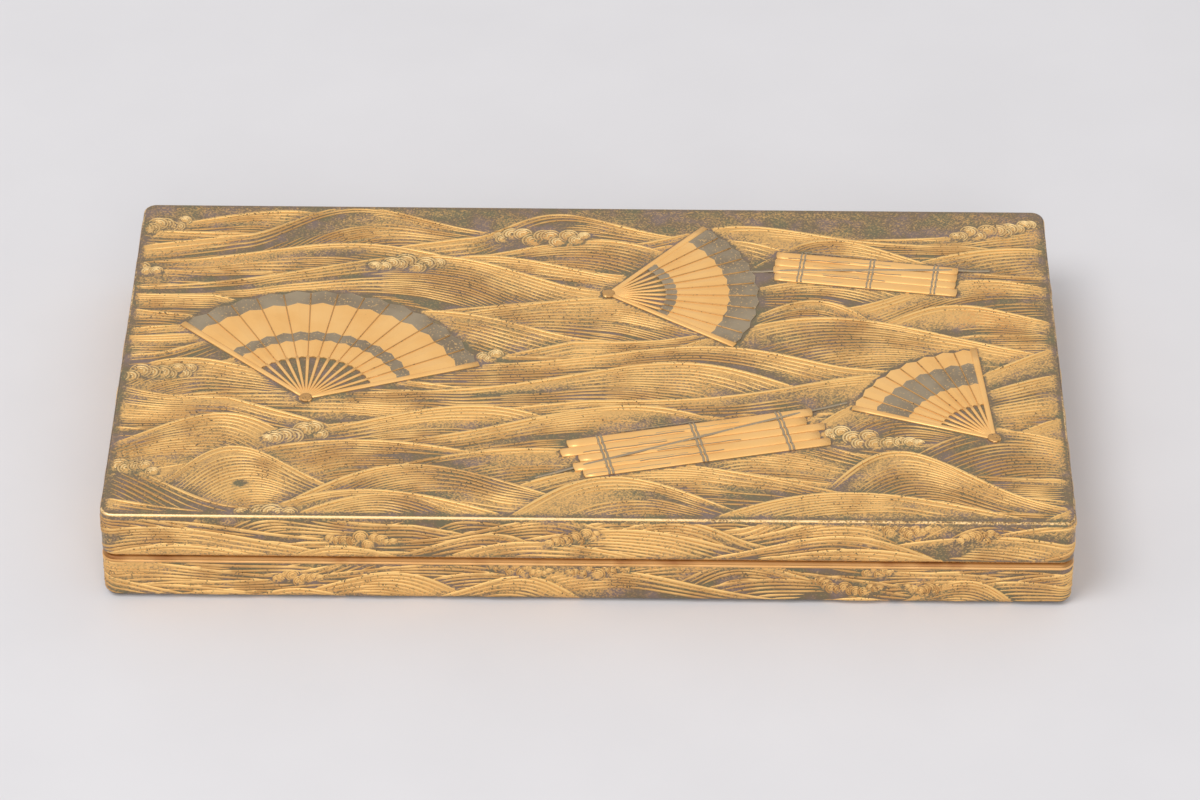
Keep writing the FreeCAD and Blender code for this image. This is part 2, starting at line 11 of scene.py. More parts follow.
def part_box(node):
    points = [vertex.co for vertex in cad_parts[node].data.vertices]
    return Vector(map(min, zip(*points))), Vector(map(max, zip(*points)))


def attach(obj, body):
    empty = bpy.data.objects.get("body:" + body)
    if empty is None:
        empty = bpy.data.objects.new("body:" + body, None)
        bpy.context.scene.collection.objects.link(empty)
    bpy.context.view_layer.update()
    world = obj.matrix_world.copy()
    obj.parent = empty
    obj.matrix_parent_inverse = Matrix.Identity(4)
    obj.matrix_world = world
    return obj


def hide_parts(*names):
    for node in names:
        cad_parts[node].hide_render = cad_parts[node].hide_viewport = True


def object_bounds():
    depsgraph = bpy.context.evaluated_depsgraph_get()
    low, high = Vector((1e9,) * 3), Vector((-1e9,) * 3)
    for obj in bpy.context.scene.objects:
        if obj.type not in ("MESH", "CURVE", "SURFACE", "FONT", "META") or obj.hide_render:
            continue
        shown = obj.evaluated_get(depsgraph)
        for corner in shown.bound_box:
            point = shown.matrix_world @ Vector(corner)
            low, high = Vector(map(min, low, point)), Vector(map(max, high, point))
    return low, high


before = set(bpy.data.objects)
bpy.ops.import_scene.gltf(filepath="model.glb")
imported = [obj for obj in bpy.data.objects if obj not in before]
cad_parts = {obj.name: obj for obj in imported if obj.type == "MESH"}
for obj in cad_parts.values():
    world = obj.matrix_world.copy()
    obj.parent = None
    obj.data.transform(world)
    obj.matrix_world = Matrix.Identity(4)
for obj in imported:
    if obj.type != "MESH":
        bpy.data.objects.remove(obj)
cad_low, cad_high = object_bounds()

# A low writing box in gold-powder lacquer, shut by a flush lid. The frame holds its wood
# and its fittings. This script adds the lacquer over it: a skin of sprinkled gold, the
# raised lines of a rolling sea, and folding fans and timber rafts that drift on it.
# Lengths are in millimetres until a mesh is made, in metres.

MM = 0.001
lid_low, lid_high = [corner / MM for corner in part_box("lid_front_wall")]
HALF_LENGTH = cad_high.x / MM
HALF_DEPTH = cad_high.y / MM
SEAM = lid_low.z
TOP = lid_high.z

# The box's rounded edges, as its wood has them
CORNER_RADIUS = 3.0
TOP_EDGE_RADIUS = 0.8
FOOT_EDGE_RADIUS = 2.2
RIM_BEVEL = 0.8

# The lacquer skin
SKIN_STEP = 0.62
SKIN_THICKNESS = 0.05
CORNER_CELLS = 8
NOISE_TABLE = 64

# How the raised lines stand on the skin: their height for their half width, and how deep
# their feet are sunk
LINE_RISE = 0.55
LINE_SINK = 0.02
UP = (0, 0, 1)

# Gilding and hair inside the box, as half widths and counts
BOARD_LINE = 0.35
BRUSH_RING = 0.3
INK_FRAME_LINE = 0.22
PETAL_LINE = 0.16
STAMEN_LINE = 0.17
ANTHER_LINE = 0.26
HAIR_WIDTH = 0.17
TUFT_HAIRS = 240
CORE_SIDES = 24

FLOOR_HALF_WIDTH = 3000
SKY_STRENGTH = 0.72

# The sea on the top of the lid, in millimetres. Rows of waves stand first_row and then
# row_pitch apart from the far edge, and spacing apart along it. Their combed lines lie pitch
# apart under each crest, times a spread, and every other one ends where they come nearer
# than least_gap. broken_above leaves gaps in them. sky, flank, crest_fade and pit say how
# dense the gold is: beyond the waves, on their flanks, just under a crest and just behind one.
TOP_SEA = {
    "seed": 8,
    "first_row": 11,
    "row_pitch": 13.5,
    "spacing": 54,
    "half_width": (34, 72),
    "rise": (8, 19),
    "pitch": 1.15,
    "least_gap": 0.74,
    "step": 0.9,
    "wobble": 0.16,
    "shortest": 5,
    "taper": 5.0,
    "broken_above": 0.5,
    "line_width": 0.36,
    "crest_width": 0.46,
    "foam_share": 0.34,
    "foam_radius": 2.1,
    "foam_width": 0.3,
    "sky": 0.1,
    "flank": 0.2,
    "crest_fade": 1.1,
    "pit": 0.62,
    "pit_fade": 2.6,
    "margin": 1.5,
}

# The same sea, drawn smaller, round the sides of the lid and of the base
LID_SEA = {
    **TOP_SEA,
    "seed": 21,
    "first_row": 0.6,
    "row_pitch": 5.2,
    "spacing": 40,
    "half_width": (26, 50),
    "rise": (4.5, 8.5),
    "pitch": 1.0,
    "least_gap": 0.7,
    "wobble": 0.1,
    "taper": 3.0,
    "broken_above": 0.62,
    "foam_share": 0.3,
    "foam_radius": 1.3,
    "foam_width": 0.26,
    "sky": 0.2,
    "crest_fade": 0.9,
    "pit_fade": 1.1,
    "margin": 0.25,
}
BASE_SEA = {**LID_SEA, "seed": 34}

# How far along a line or a wave its sway, drift, breaks, press and tones change
SWAY_LENGTH = 9
DRIFT_LENGTH = 14
BREAK_LENGTH = 24
PRESS_LENGTH = 7
STREAK_LENGTH = 26
PATCH_LENGTH = 30
PIT_LENGTH = 22
MOST_LINES = 48
FOAM_RINGS = (1.0, 0.68, 0.36)
LOWEST = -1e3

WORN_SPOT = (-79, -49)
WORN_SPOT_RADIUS = 1.5


# Small tools


def linear(code):
    """An sRGB hex colour as the linear colour that a shader takes."""
    channels = [int(code[i : i + 2], 16) / 255 for i in (1, 3, 5)]
    return [c / 12.92 if c <= 0.04045 else ((c + 0.055) / 1.055) ** 2.4 for c in channels] + [1]


def fill(tree, node, inputs):
    """Fills or links inputs by name or number, or in order. Hex colours are made linear."""
    for name, value in inputs.items() if isinstance(inputs, dict) else enumerate(inputs):
        socket = node.inputs[name]
        if isinstance(value, bpy.types.NodeSocket):
            tree.links.new(value, socket)
        else:
            is_colour = isinstance(value, str) and value.startswith("#")
            socket.default_value = linear(value) if is_colour else value


def add(tree, kind, inputs=(), out=0, stops=(), **settings):
    """Adds a node with its inputs, its settings and, on a colour ramp, its stops of
    (position, hex colour), and gives back one of its outputs."""
    node = tree.nodes.new(kind)
    for name, value in settings.items():
        setattr(node, name, value)
    for _ in stops[2:]:
        node.color_ramp.elements.new(1)
    for number, (position, code) in enumerate(stops):
        element = node.color_ramp.elements[number]
        element.position = position
        element.color = linear(code)
    fill(tree, node, inputs)
    return node.outputs[out]


@lru_cache
def noise_table(seed):
    return np.random.default_rng(seed).uniform(-1, 1, (NOISE_TABLE, NOISE_TABLE))


def smooth_noise(x, y, seed):
    """Soft random values from -1 to 1, one hill or dip for each unit of x and y."""
    table = noise_table(seed)
    x = np.asarray(x, float)
    y = np.asarray(y, float) + 0 * x
    column = np.floor(x).astype(int)
    row = np.floor(y).astype(int)
    over = x - column
    up = y - row
    over = over * over * (3 - 2 * over)
    up = up * up * (3 - 2 * up)

    def at(i, j):
        return table[(column + i) % NOISE_TABLE, (row + j) % NOISE_TABLE]

    near = at(0, 0) * (1 - over) + at(1, 0) * over
    far = at(0, 1) * (1 - over) + at(1, 1) * over
    return near * (1 - up) + far * up


def runs(shown):
    """The first place of each unbroken run of true values, and the place after its last."""
    edges = np.flatnonzero(np.diff(np.concatenate(([0], shown.astype(int), [0]))))
    return zip(edges[::2], edges[1::2])


def grid_faces(shape):
    """The numbers of a grid's points, in rows, and the four-cornered faces between them."""
    ids = np.arange(shape[0] * shape[1]).reshape(shape)
    quads = np.stack([ids[:-1, :-1], ids[:-1, 1:], ids[1:, 1:], ids[1:, :-1]], axis=-1)
    return ids, quads.reshape(-1, 4).tolist()


def new_object(name, vertices, faces, materials, body, edges=(), smooth=True):
    """A mesh piece from millimetres, riding on a body."""
    mesh = bpy.data.meshes.new(name)
    points = (np.asarray(vertices, float) * MM).tolist()
    mesh.from_pydata(points, edges, faces)
    mesh.validate()
    for material in materials:
        mesh.materials.append(material)
    if smooth and len(mesh.polygons):
        mesh.shade_smooth()
    piece = bpy.data.objects.new(name, mesh)
    bpy.context.scene.collection.objects.link(piece)
    if body:
        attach(piece, body)
    return piece


# The picture of the sea


@dataclass
class Swell:
    """One wave: a leaning hump that hides whatever lies behind it."""

    middle: float
    foot: float
    half_width: float
    rise: float
    lean: float
    spreads: tuple
    number: int

    def along(self, x):
        """From -1 at the wave's left foot to 1 at its right one."""
        s = (x - self.middle) / self.half_width
        inside = np.clip(s, -1, 1)
        return s + self.lean * (1 - inside * inside)

    def crest(self, x):
        s = self.along(x)
        beyond = np.maximum(np.abs(s) - 1, 0)
        hump = 0.5 * (1 + np.cos(math.pi * np.clip(s, -1, 1))) - 0.8 * beyond
        return self.foot + self.rise * hump

    def spread(self, x):
        """How far apart its lines lie: they fan out from one flank to the other."""
        s = np.clip(self.along(x), -1.2, 1.2) / 1.2
        side = 0.5 * (1 + np.sin(0.5 * math.pi * s))
        left, right = self.spreads
        return left + (right - left) * side


def clear_of(x, y, lobe, share):
    """Whether places lie outside a lobe of foam, taken at a share of its size."""
    lobe_x, lobe_y, radius = lobe[:3]
    return (x - lobe_x) ** 2 + (y - lobe_y) ** 2 > (share * radius) ** 2


class Sea:
    """Overlapping waves on a strip, x along it and y from its near edge to its far one."""

    def __init__(self, length, depth, look, clear=()):
        self.length = length
        self.depth = depth
        self.look = look
        self.seed = look["seed"]
        self.clear = clear
        chance = np.random.default_rng(self.seed)
        self.swells = self.lay_swells(chance)
        self.foam = self.lay_foam(chance)

    def lay_swells(self, chance):
        look = self.look
        swells = []
        foot = self.depth - look["first_row"]
        while foot > -look["rise"][1]:
            nearness = 1 - foot / self.depth
            x = -chance.uniform(0, look["spacing"])
            while x < self.length + look["spacing"]:
                half = chance.uniform(*look["half_width"]) * (0.85 + 0.3 * nearness)
                rise = chance.uniform(*look["rise"]) * (0.8 + 0.4 * nearness)
                lean = chance.choice([-1, 1], p=[0.35, 0.65]) * chance.uniform(0.15, 0.6)
                tight = chance.uniform(0.1, 0.4)
                loose = chance.uniform(1.2, 2.1)
                spreads = (tight, loose) if lean < 0 else (loose, tight)
                own_foot = foot + chance.uniform(-0.35, 0.35) * look["row_pitch"]
                swells.append(Swell(x, own_foot, half, rise, lean, spreads, len(swells)))
                x += look["spacing"] * chance.uniform(0.75, 1.3)
            foot -= look["row_pitch"]
        return sorted(swells, key=lambda swell: swell.foot)

    def lay_foam(self, chance):
        """Chains of round lobes down some of the crests, as (x, y, radius, turn, swell)."""
        look = self.look
        lobes = []
        for swell in self.swells:
            if chance.uniform() > look["foam_share"]:
                continue
            side = 1 if swell.lean > 0 else -1
            count = chance.integers(7, 14)
            x = swell.middle + side * chance.uniform(0.05, 0.4) * swell.half_width
            for number in range(count):
                swing = math.sin(math.pi * (number + 1) / (count + 1))
                radius = look["foam_radius"] * (0.55 + 0.6 * swing) * chance.uniform(0.85, 1.15)
                y = float(swell.crest(np.array(x))) + chance.uniform(-1.0, 0.7) * radius
                turn = math.pi / 2 + side * chance.uniform(0.2, 0.9)
                lobes.append((x, y, radius, turn, swell.number))
                x += side * radius * chance.uniform(0.6, 1.3)
        return lobes

    def inside(self, x, y):
        margin = self.look["margin"]
        across = (x > margin) & (x < self.length - margin)
        return across & (y > margin) & (y < self.depth - margin)

    def covered(self, x, y):
        """Where a motif lies over the sea."""
        hidden = np.zeros(np.shape(x), bool)
        for shape in self.clear:
            hidden |= shape(x, y)
        return hidden

    def wave_lines(self):
        """Every visible stretch of every combed line, as (x, y, half width)."""
        look = self.look
        x = np.arange(-look["step"], self.length + 2 * look["step"], look["step"])
        cover = np.full(x.shape, LOWEST)
        stretches = []
        for swell in self.swells:
            crest = swell.crest(x)
            spread = swell.spread(x)
            sway = look["wobble"] * smooth_noise(x / SWAY_LENGTH, swell.number * 1.7, self.seed + 1)
            for number in range(MOST_LINES):
                row = number * 0.9 + swell.number
                drift = smooth_noise(x / DRIFT_LENGTH, row, self.seed + 2)
                y = crest - look["pitch"] * number * spread + sway * min(number, 3)
                y = y + look["wobble"] * 0.5 * drift * min(number, 2)
                if not np.any(y > cover):
                    break
                room = look["pitch"] * spread * (number & -number if number else MOST_LINES)
                shown = (y > cover) & (room > look["least_gap"]) & self.inside(x, y)
                if number > 1:
                    row = number * 0.37 + swell.number * 2.3
                    gap = smooth_noise(x / BREAK_LENGTH, row, self.seed + 3)
                    shown &= gap < look["broken_above"]
                for lobe in self.foam:
                    shown &= clear_of(x, y, lobe, 0.95)
                shown &= ~self.covered(x, y)
                stretches += self.stretches(x, y, shown, swell, number)
            cover = np.maximum(cover, crest)
        return stretches

    def stretches(self, x, y, shown, swell, number):
        """The unbroken stretches of one line, drawn to a point at each end."""
        look = self.look
        found = []
        for start, end in runs(shown):
            if end - start < look["shortest"]:
                continue
            xs = x[start:end]
            from_end = np.minimum(xs - xs[0], xs[-1] - xs)
            taper = 0.15 + 0.85 * np.clip(from_end / look["taper"], 0, 1) ** 0.6
            row = number * 1.3 + swell.number
            press = 1 + 0.3 * smooth_noise(xs / PRESS_LENGTH, row, self.seed + 4)
            width = look["line_width"] if number else look["crest_width"]
            found.append((xs, y[start:end], width * taper * press))
        return found

    def foam_lines(self):
        """Nested arcs in each lobe of foam, hidden where the next lobe lies over them."""
        look = self.look
        lines = []
        for place, (lobe_x, lobe_y, radius, turn, owner) in enumerate(self.foam):
            later = [lobe for lobe in self.foam[place + 1 : place + 4] if lobe[4] == owner]
            for share in FOAM_RINGS:
                sweep = math.radians(118 if share == 1 else 100)
                angle = np.linspace(turn - sweep, turn + sweep, 16)
                x = lobe_x + radius * share * np.cos(angle)
                y = lobe_y + radius * share * np.sin(angle)
                shown = self.inside(x, y) & ~self.covered(x, y)
                for other in later:
                    shown &= clear_of(x, y, other, 0.97)
                for start, end in runs(shown):
                    if end - start < 4:
                        continue
                    swell = np.sin(math.pi * np.linspace(0, 1, end - start)) ** 0.5
                    width = look["foam_width"] * (0.35 + 0.65 * swell)
                    lines.append((x[start:end], y[start:end], width))
        return lines

    def gold(self, x, y):
        """How densely gold is sprinkled at each place, from 0, bare ground, to 1."""
        look = self.look
        amount = look["sky"] + 0.1 * smooth_noise(x / 9, y / 5, self.seed + 8)
        nearer = np.full(x.shape, LOWEST)
        bare = np.ones(x.shape, bool)
        for swell in self.swells:
            crest = swell.crest(x)
            here = bare & (y <= crest)
            if here.any():
                at = x[here]
                below = crest[here] - y[here]
                spread = swell.spread(at)
                row = below / (look["pitch"] * spread)
                glow = np.exp(-below / (look["crest_fade"] * spread**0.5))
                along = at / STREAK_LENGTH + swell.number * 5.3
                streak = smooth_noise(row * 0.22, along, self.seed + 5)
                along = at / PATCH_LENGTH + swell.number * 2.9
                patch = smooth_noise(along, row * 0.06, self.seed + 6)
                uneven = smooth_noise(at / PIT_LENGTH, swell.number * 3.3, self.seed + 7)
                behind = np.exp(-(y[here] - nearer[here]) / look["pit_fade"])
                pit = look["pit"] * (0.55 + 0.45 * uneven) * behind
                amount[here] = look["flank"] + 0.6 * glow + 0.22 * streak + 0.3 * patch - pit
            bare &= y > crest
            nearer = np.maximum(nearer, crest)
        for lobe_x, lobe_y, radius, _, _ in self.foam:
            apart = np.hypot(x - lobe_x, y - lobe_y) / radius
            amount = np.where(apart < 1.2, 0.5 - 0.5 * apart**3, amount)
        amount = np.where(self.covered(x, y), 0, amount)
        return np.clip(amount, 0, 1)


# The box's outside, unrolled

# The flat middle of the top, inside its round corners, and the skin's cells along it
INNER_X = HALF_LENGTH - CORNER_RADIUS
INNER_Y = HALF_DEPTH - CORNER_RADIUS
CELLS_X = round(2 * INNER_X / SKIN_STEP)
CELLS_Y = round(2 * INNER_Y / SKIN_STEP)


def outline(offset, z):
    """One ring of the box's outside, moved out by offset, from its back left corner round
    its left side to the front, and on round: places and outward directions."""
    radius = CORNER_RADIUS + offset
    sides = [(-1, 1), (-1, -1), (1, -1), (1, 1)]
    places = []
    outward = []
    for number, (side_x, side_y) in enumerate(sides):
        for step in range(CORNER_CELLS):
            angle = math.pi / 2 * (number + 1 + step / CORNER_CELLS)
            way = (math.cos(angle), math.sin(angle))
            x = side_x * INNER_X + radius * way[0]
            places.append((x, side_y * INNER_Y + radius * way[1], z))
            outward.append((*way, 0))
        next_x, next_y = sides[(number + 1) % 4]
        steps = CELLS_Y if next_x == side_x else CELLS_X
        angle = math.pi / 2 * (number + 2)
        way = (round(math.cos(angle)), round(math.sin(angle)))
        for step in range(steps):
            share = step / steps
            x = (side_x + (next_x - side_x) * share) * INNER_X + radius * way[0]
            y = (side_y + (next_y - side_y) * share) * INNER_Y + radius * way[1]
            places.append((x, y, z))
            outward.append((*way, 0))
    return np.array(places), np.array(outward)


RING, RING_OUTWARD = outline(0.0, 0.0)
RING_CLOSED = np.vstack([RING, RING[:1]])
RING_AT = np.concatenate([[0], np.cumsum(np.linalg.norm(np.diff(RING_CLOSED, axis=0), axis=1))])
GIRTH = RING_AT[-1]


def on_side(along, height, lift):
    """Places on the box's upright sides, at a distance along the ring, and the way out."""
    turned = np.vstack([RING_OUTWARD, RING_OUTWARD[:1]])
    out = np.stack([np.interp(along, RING_AT, turned[:, i]) for i in range(3)], axis=1)
    out /= np.linalg.norm(out, axis=1)[:, None]
    place = np.stack([np.interp(along, RING_AT, RING_CLOSED[:, i]) for i in range(3)], axis=1)
    place[:, 2] = height
    return place + out * lift, out


def foot_inset(z):
    """How far the rounded foot has drawn in at a height."""
    drop = np.clip(FOOT_EDGE_RADIUS - np.asarray(z, float), 0, FOOT_EDGE_RADIUS)
    return FOOT_EDGE_RADIUS - np.sqrt(FOOT_EDGE_RADIUS**2 - drop**2)


def inner_grid(z):
    """The flat middle of the top, and its border in the order that outline goes round."""
    across = np.linspace(-INNER_X, INNER_X, CELLS_X + 1)
    x, y = np.meshgrid(across, np.linspace(-INNER_Y, INNER_Y, CELLS_Y + 1))
    vertices = np.stack([x.ravel(), y.ravel(), np.full(x.size, z)], axis=1)
    ids, quads = grid_faces(x.shape)
    border = []
    sides = (ids[::-1, 0], ids[0, :], ids[:, -1], ids[-1, ::-1])
    for side in sides:
        border += [side[0]] * CORNER_CELLS + list(side[:-1])
    return vertices, quads, border


def skin(name, profile, gold_at, materials, body, top=False):
    """A lacquer skin through rings of (offset, height, material number), from the inside
    out, or from the top down, where a flat middle lies inside the first. gold_at gives the
    gold at places of one height."""
    vertices = np.zeros((0, 3))
    gold = np.zeros(0)
    faces = []
    numbers = []
    above = None
    if top:
        vertices, faces, above = inner_grid(profile[0][1])
        numbers = [0] * len(faces)
        gold = gold_at(vertices, profile[0][1])
        profile = profile[1:]
    for offset, z, number in profile:
        ring, _ = outline(offset, z)
        below = list(range(len(vertices), len(vertices) + len(ring)))
        vertices = np.vstack([vertices, ring])
        gold = np.concatenate([gold, gold_at(ring, z)])
        if above:
            for i in range(len(ring)):
                after = (i + 1) % len(ring)
                quad = [below[i], below[after], above[after], above[i]]
                faces.append([v for k, v in enumerate(quad) if v != quad[k - 1]])
                numbers.append(number)
        above = below
    piece = new_object(name, vertices, faces, materials, body)
    piece.data.attributes.new("gold", "FLOAT", "POINT").data.foreach_set("value", gold)
    piece.data.polygons.foreach_set("material_index", numbers)
    return piece


def lines_tree():
    """Sweeps a low dome along each line, as wide as its points say, standing on a surface."""
    tree = bpy.data.node_groups.new("raised_lines", "GeometryNodeTree")
    sockets = (
        ("Lines", "INPUT", "NodeSocketGeometry"),
        ("Rise share", "INPUT", "NodeSocketFloat"),
        ("Lacquer", "INPUT", "NodeSocketMaterial"),
        ("Raised lines", "OUTPUT", "NodeSocketGeometry"),
    )
    for name, way, kind in sockets:
        tree.interface.new_socket(name, in_out=way, socket_type=kind)
    lines, rise_share, lacquer = (add(tree, "NodeGroupInput", out=i) for i in range(3))
    attribute = "GeometryNodeInputNamedAttribute"
    width = add(tree, attribute, {"Name": "width"}, data_type="FLOAT")
    out = add(tree, attribute, {"Name": "out"}, data_type="FLOAT_VECTOR")
    path = add(tree, "GeometryNodeMeshToCurve", {"Mesh": lines})
    normal = {"Curve": path, "Normal": out}
    path = add(tree, "GeometryNodeSetCurveNormal", normal, mode="FREE")
    half_turn = {"Start Angle": -math.pi / 2, "Sweep Angle": math.pi}
    dome = add(tree, "GeometryNodeCurveArc", {"Resolution": 4, "Radius": 1.0, **half_turn})
    closed = add(tree, "GeometryNodeSetSplineCyclic", {"Geometry": dome, "Cyclic": True})
    size = add(tree, "ShaderNodeCombineXYZ", {"X": rise_share, "Y": 1.0, "Z": 1.0})
    profile = add(tree, "GeometryNodeTransform", {"Geometry": closed, "Scale": size})
    sweep = {"Curve": path, "Profile Curve": profile, "Scale": width, "Fill Caps": True}
    swept = add(tree, "GeometryNodeCurveToMesh", sweep)
    smooth = {"Geometry": swept, "Shade Smooth": True}
    shaded = add(tree, "GeometryNodeSetShadeSmooth", smooth)
    plain = add(tree, "GeometryNodeRealizeInstances", {"Geometry": shaded})
    finished = add(tree, "GeometryNodeSetMaterial", {"Geometry": plain, "Material": lacquer})
    fill(tree, tree.nodes.new("NodeGroupOutput"), {0: finished})
    return tree


def grow(piece, tree, **values):
    """Runs a node tree on a piece, and leaves its result as the piece's plain mesh."""
    modifier = piece.modifiers.new(tree.name, "NODES")
    modifier.node_group = tree
    for item in tree.interface.items_tree:
        key = item.name.lower().replace(" ", "_")
        if item.in_out == "INPUT" and key in values:
            modifier[item.identifier] = values[key]
    evaluated = piece.evaluated_get(bpy.context.evaluated_depsgraph_get())
    mesh = bpy.data.meshes.new_from_object(evaluated)
    piece.modifiers.remove(modifier)
    guide = piece.data
    piece.data = mesh
    bpy.data.meshes.remove(guide)
    mesh.name = piece.name
    return piece


def raise_lines(name, lines, material, body):
    """Lines of (places, outward directions, half widths, gold), swept into one piece."""
    places = np.vstack([line[0] for line in lines])
    outward = np.vstack([line[1] for line in lines])
    widths = np.concatenate([line[2] for line in lines]) * MM
    gold = np.concatenate([line[3] for line in lines])
    edges = []
    first = 0
    for line in lines:
        edges += [(i, i + 1) for i in range(first, first + len(line[0]) - 1)]
        first += len(line[0])
    piece = new_object(name, places, [], [], None, edges)
    mesh = piece.data
    mesh.attributes.new("width", "FLOAT", "POINT").data.foreach_set("value", widths)
    mesh.attributes.new("gold", "FLOAT", "POINT").data.foreach_set("value", gold)
    out = mesh.attributes.new("out", "FLOAT_VECTOR", "POINT")
    out.data.foreach_set("vector", outward.ravel())
    grow(piece, line_sweep, rise_share=LINE_RISE, lacquer=material)
    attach(piece, body)
    return piece


def even_line(points, out, half_width):
    """A line for raise_lines, from places in millimetres, with full gold all along it."""
    points = np.asarray(points, float)
    outward = np.broadcast_to(np.asarray(out, float), points.shape)
    even = np.ones(len(points))
    return points, outward, half_width * even, even


def loop(points):
    """A closed path, with its start run over once more."""
    points = np.asarray(points, float)
    return np.vstack([points, points[:2]])


def gold_along(sea, lines):
    """The gold on each line, which follows that of the wave's flank just under it."""
    x = np.concatenate([line[0] for line in lines])
    y = np.concatenate([line[1] for line in lines])
    ends = np.cumsum([len(line[0]) for line in lines])[:-1]
    return np.split(0.4 + 1.2 * sea.gold(x, y - 0.5), ends)


def on_top(sea, lines):
    """A sea's lines, laid on the top of the lid."""
    lift = TOP + SKIN_THICKNESS - LINE_SINK
    laid = []
    for (x, y, width), gold in zip(lines, gold_along(sea, lines)):
        places = np.stack([x - HALF_LENGTH, y - HALF_DEPTH, np.full(len(x), lift)], axis=1)
        laid.append((places, np.tile(UP, (len(x), 1)), width, gold))
    return laid


def round_sides(sea, lines, low):
    """A sea's lines, wrapped round the upright sides from a height up."""
    laid = []
    for (along, height, width), gold in zip(lines, gold_along(sea, lines)):
        z = low + height
        places, out = on_side(along, z, SKIN_THICKNESS - LINE_SINK)
        laid.append((places - out * foot_inset(z)[:, None], out, width, gold))
    return laid


# What drifts on the sea


def relief(places, heights, base):
    """A closed raised form over a grid of places, from its heights down to a base."""
    top = np.concatenate([places, heights[..., None]], axis=2).reshape(-1, 3)
    ids, faces = grid_faces(heights.shape)
    rim = [*ids[0, :-1], *ids[:-1, -1], *ids[-1, :0:-1], *ids[:0:-1, 0]]
    low = top[rim]
    low[:, 2] = base
    count = len(rim)
    first = len(top)
    for i in range(count):
        after = (i + 1) % count
        faces.append([first + i, first + after, int(rim[after]), int(rim[i])])
    faces.append(list(range(first + count - 1, first - 1, -1)))
    return np.vstack([top, low]), faces


def face_out(piece):
    """Turns the faces of closed forms outwards."""
    shape = bmesh.new()
    shape.from_mesh(piece.data)
    bmesh.ops.recalc_face_normals(shape, faces=shape.faces)
    shape.to_mesh(piece.data)
    shape.free()
    return piece


def join_forms(name, forms, materials, body, smooth=True):
    """One piece from closed forms of (vertices, faces, material number of each face)."""
    vertices = np.vstack([form[0] for form in forms])
    faces = []
    numbers = []
    first = 0
    for points, polygons, number in forms:
        faces += [[first + i for i in polygon] for polygon in polygons]
        numbers += list(number) if np.ndim(number) else [number] * len(polygons)
        first += len(points)
    piece = new_object(name, vertices, faces, materials, body, smooth=smooth)
    piece.data.polygons.foreach_set("material_index", numbers)
    return face_out(piece)


def worn_spot(x, y):
    """A bare oval on the lid, near its front left corner, where the gold has gone."""
    across = x - HALF_LENGTH - WORN_SPOT[0]
    up = y - HALF_DEPTH - WORN_SPOT[1]
    return np.hypot(across, up / 0.8) < WORN_SPOT_RADIUS


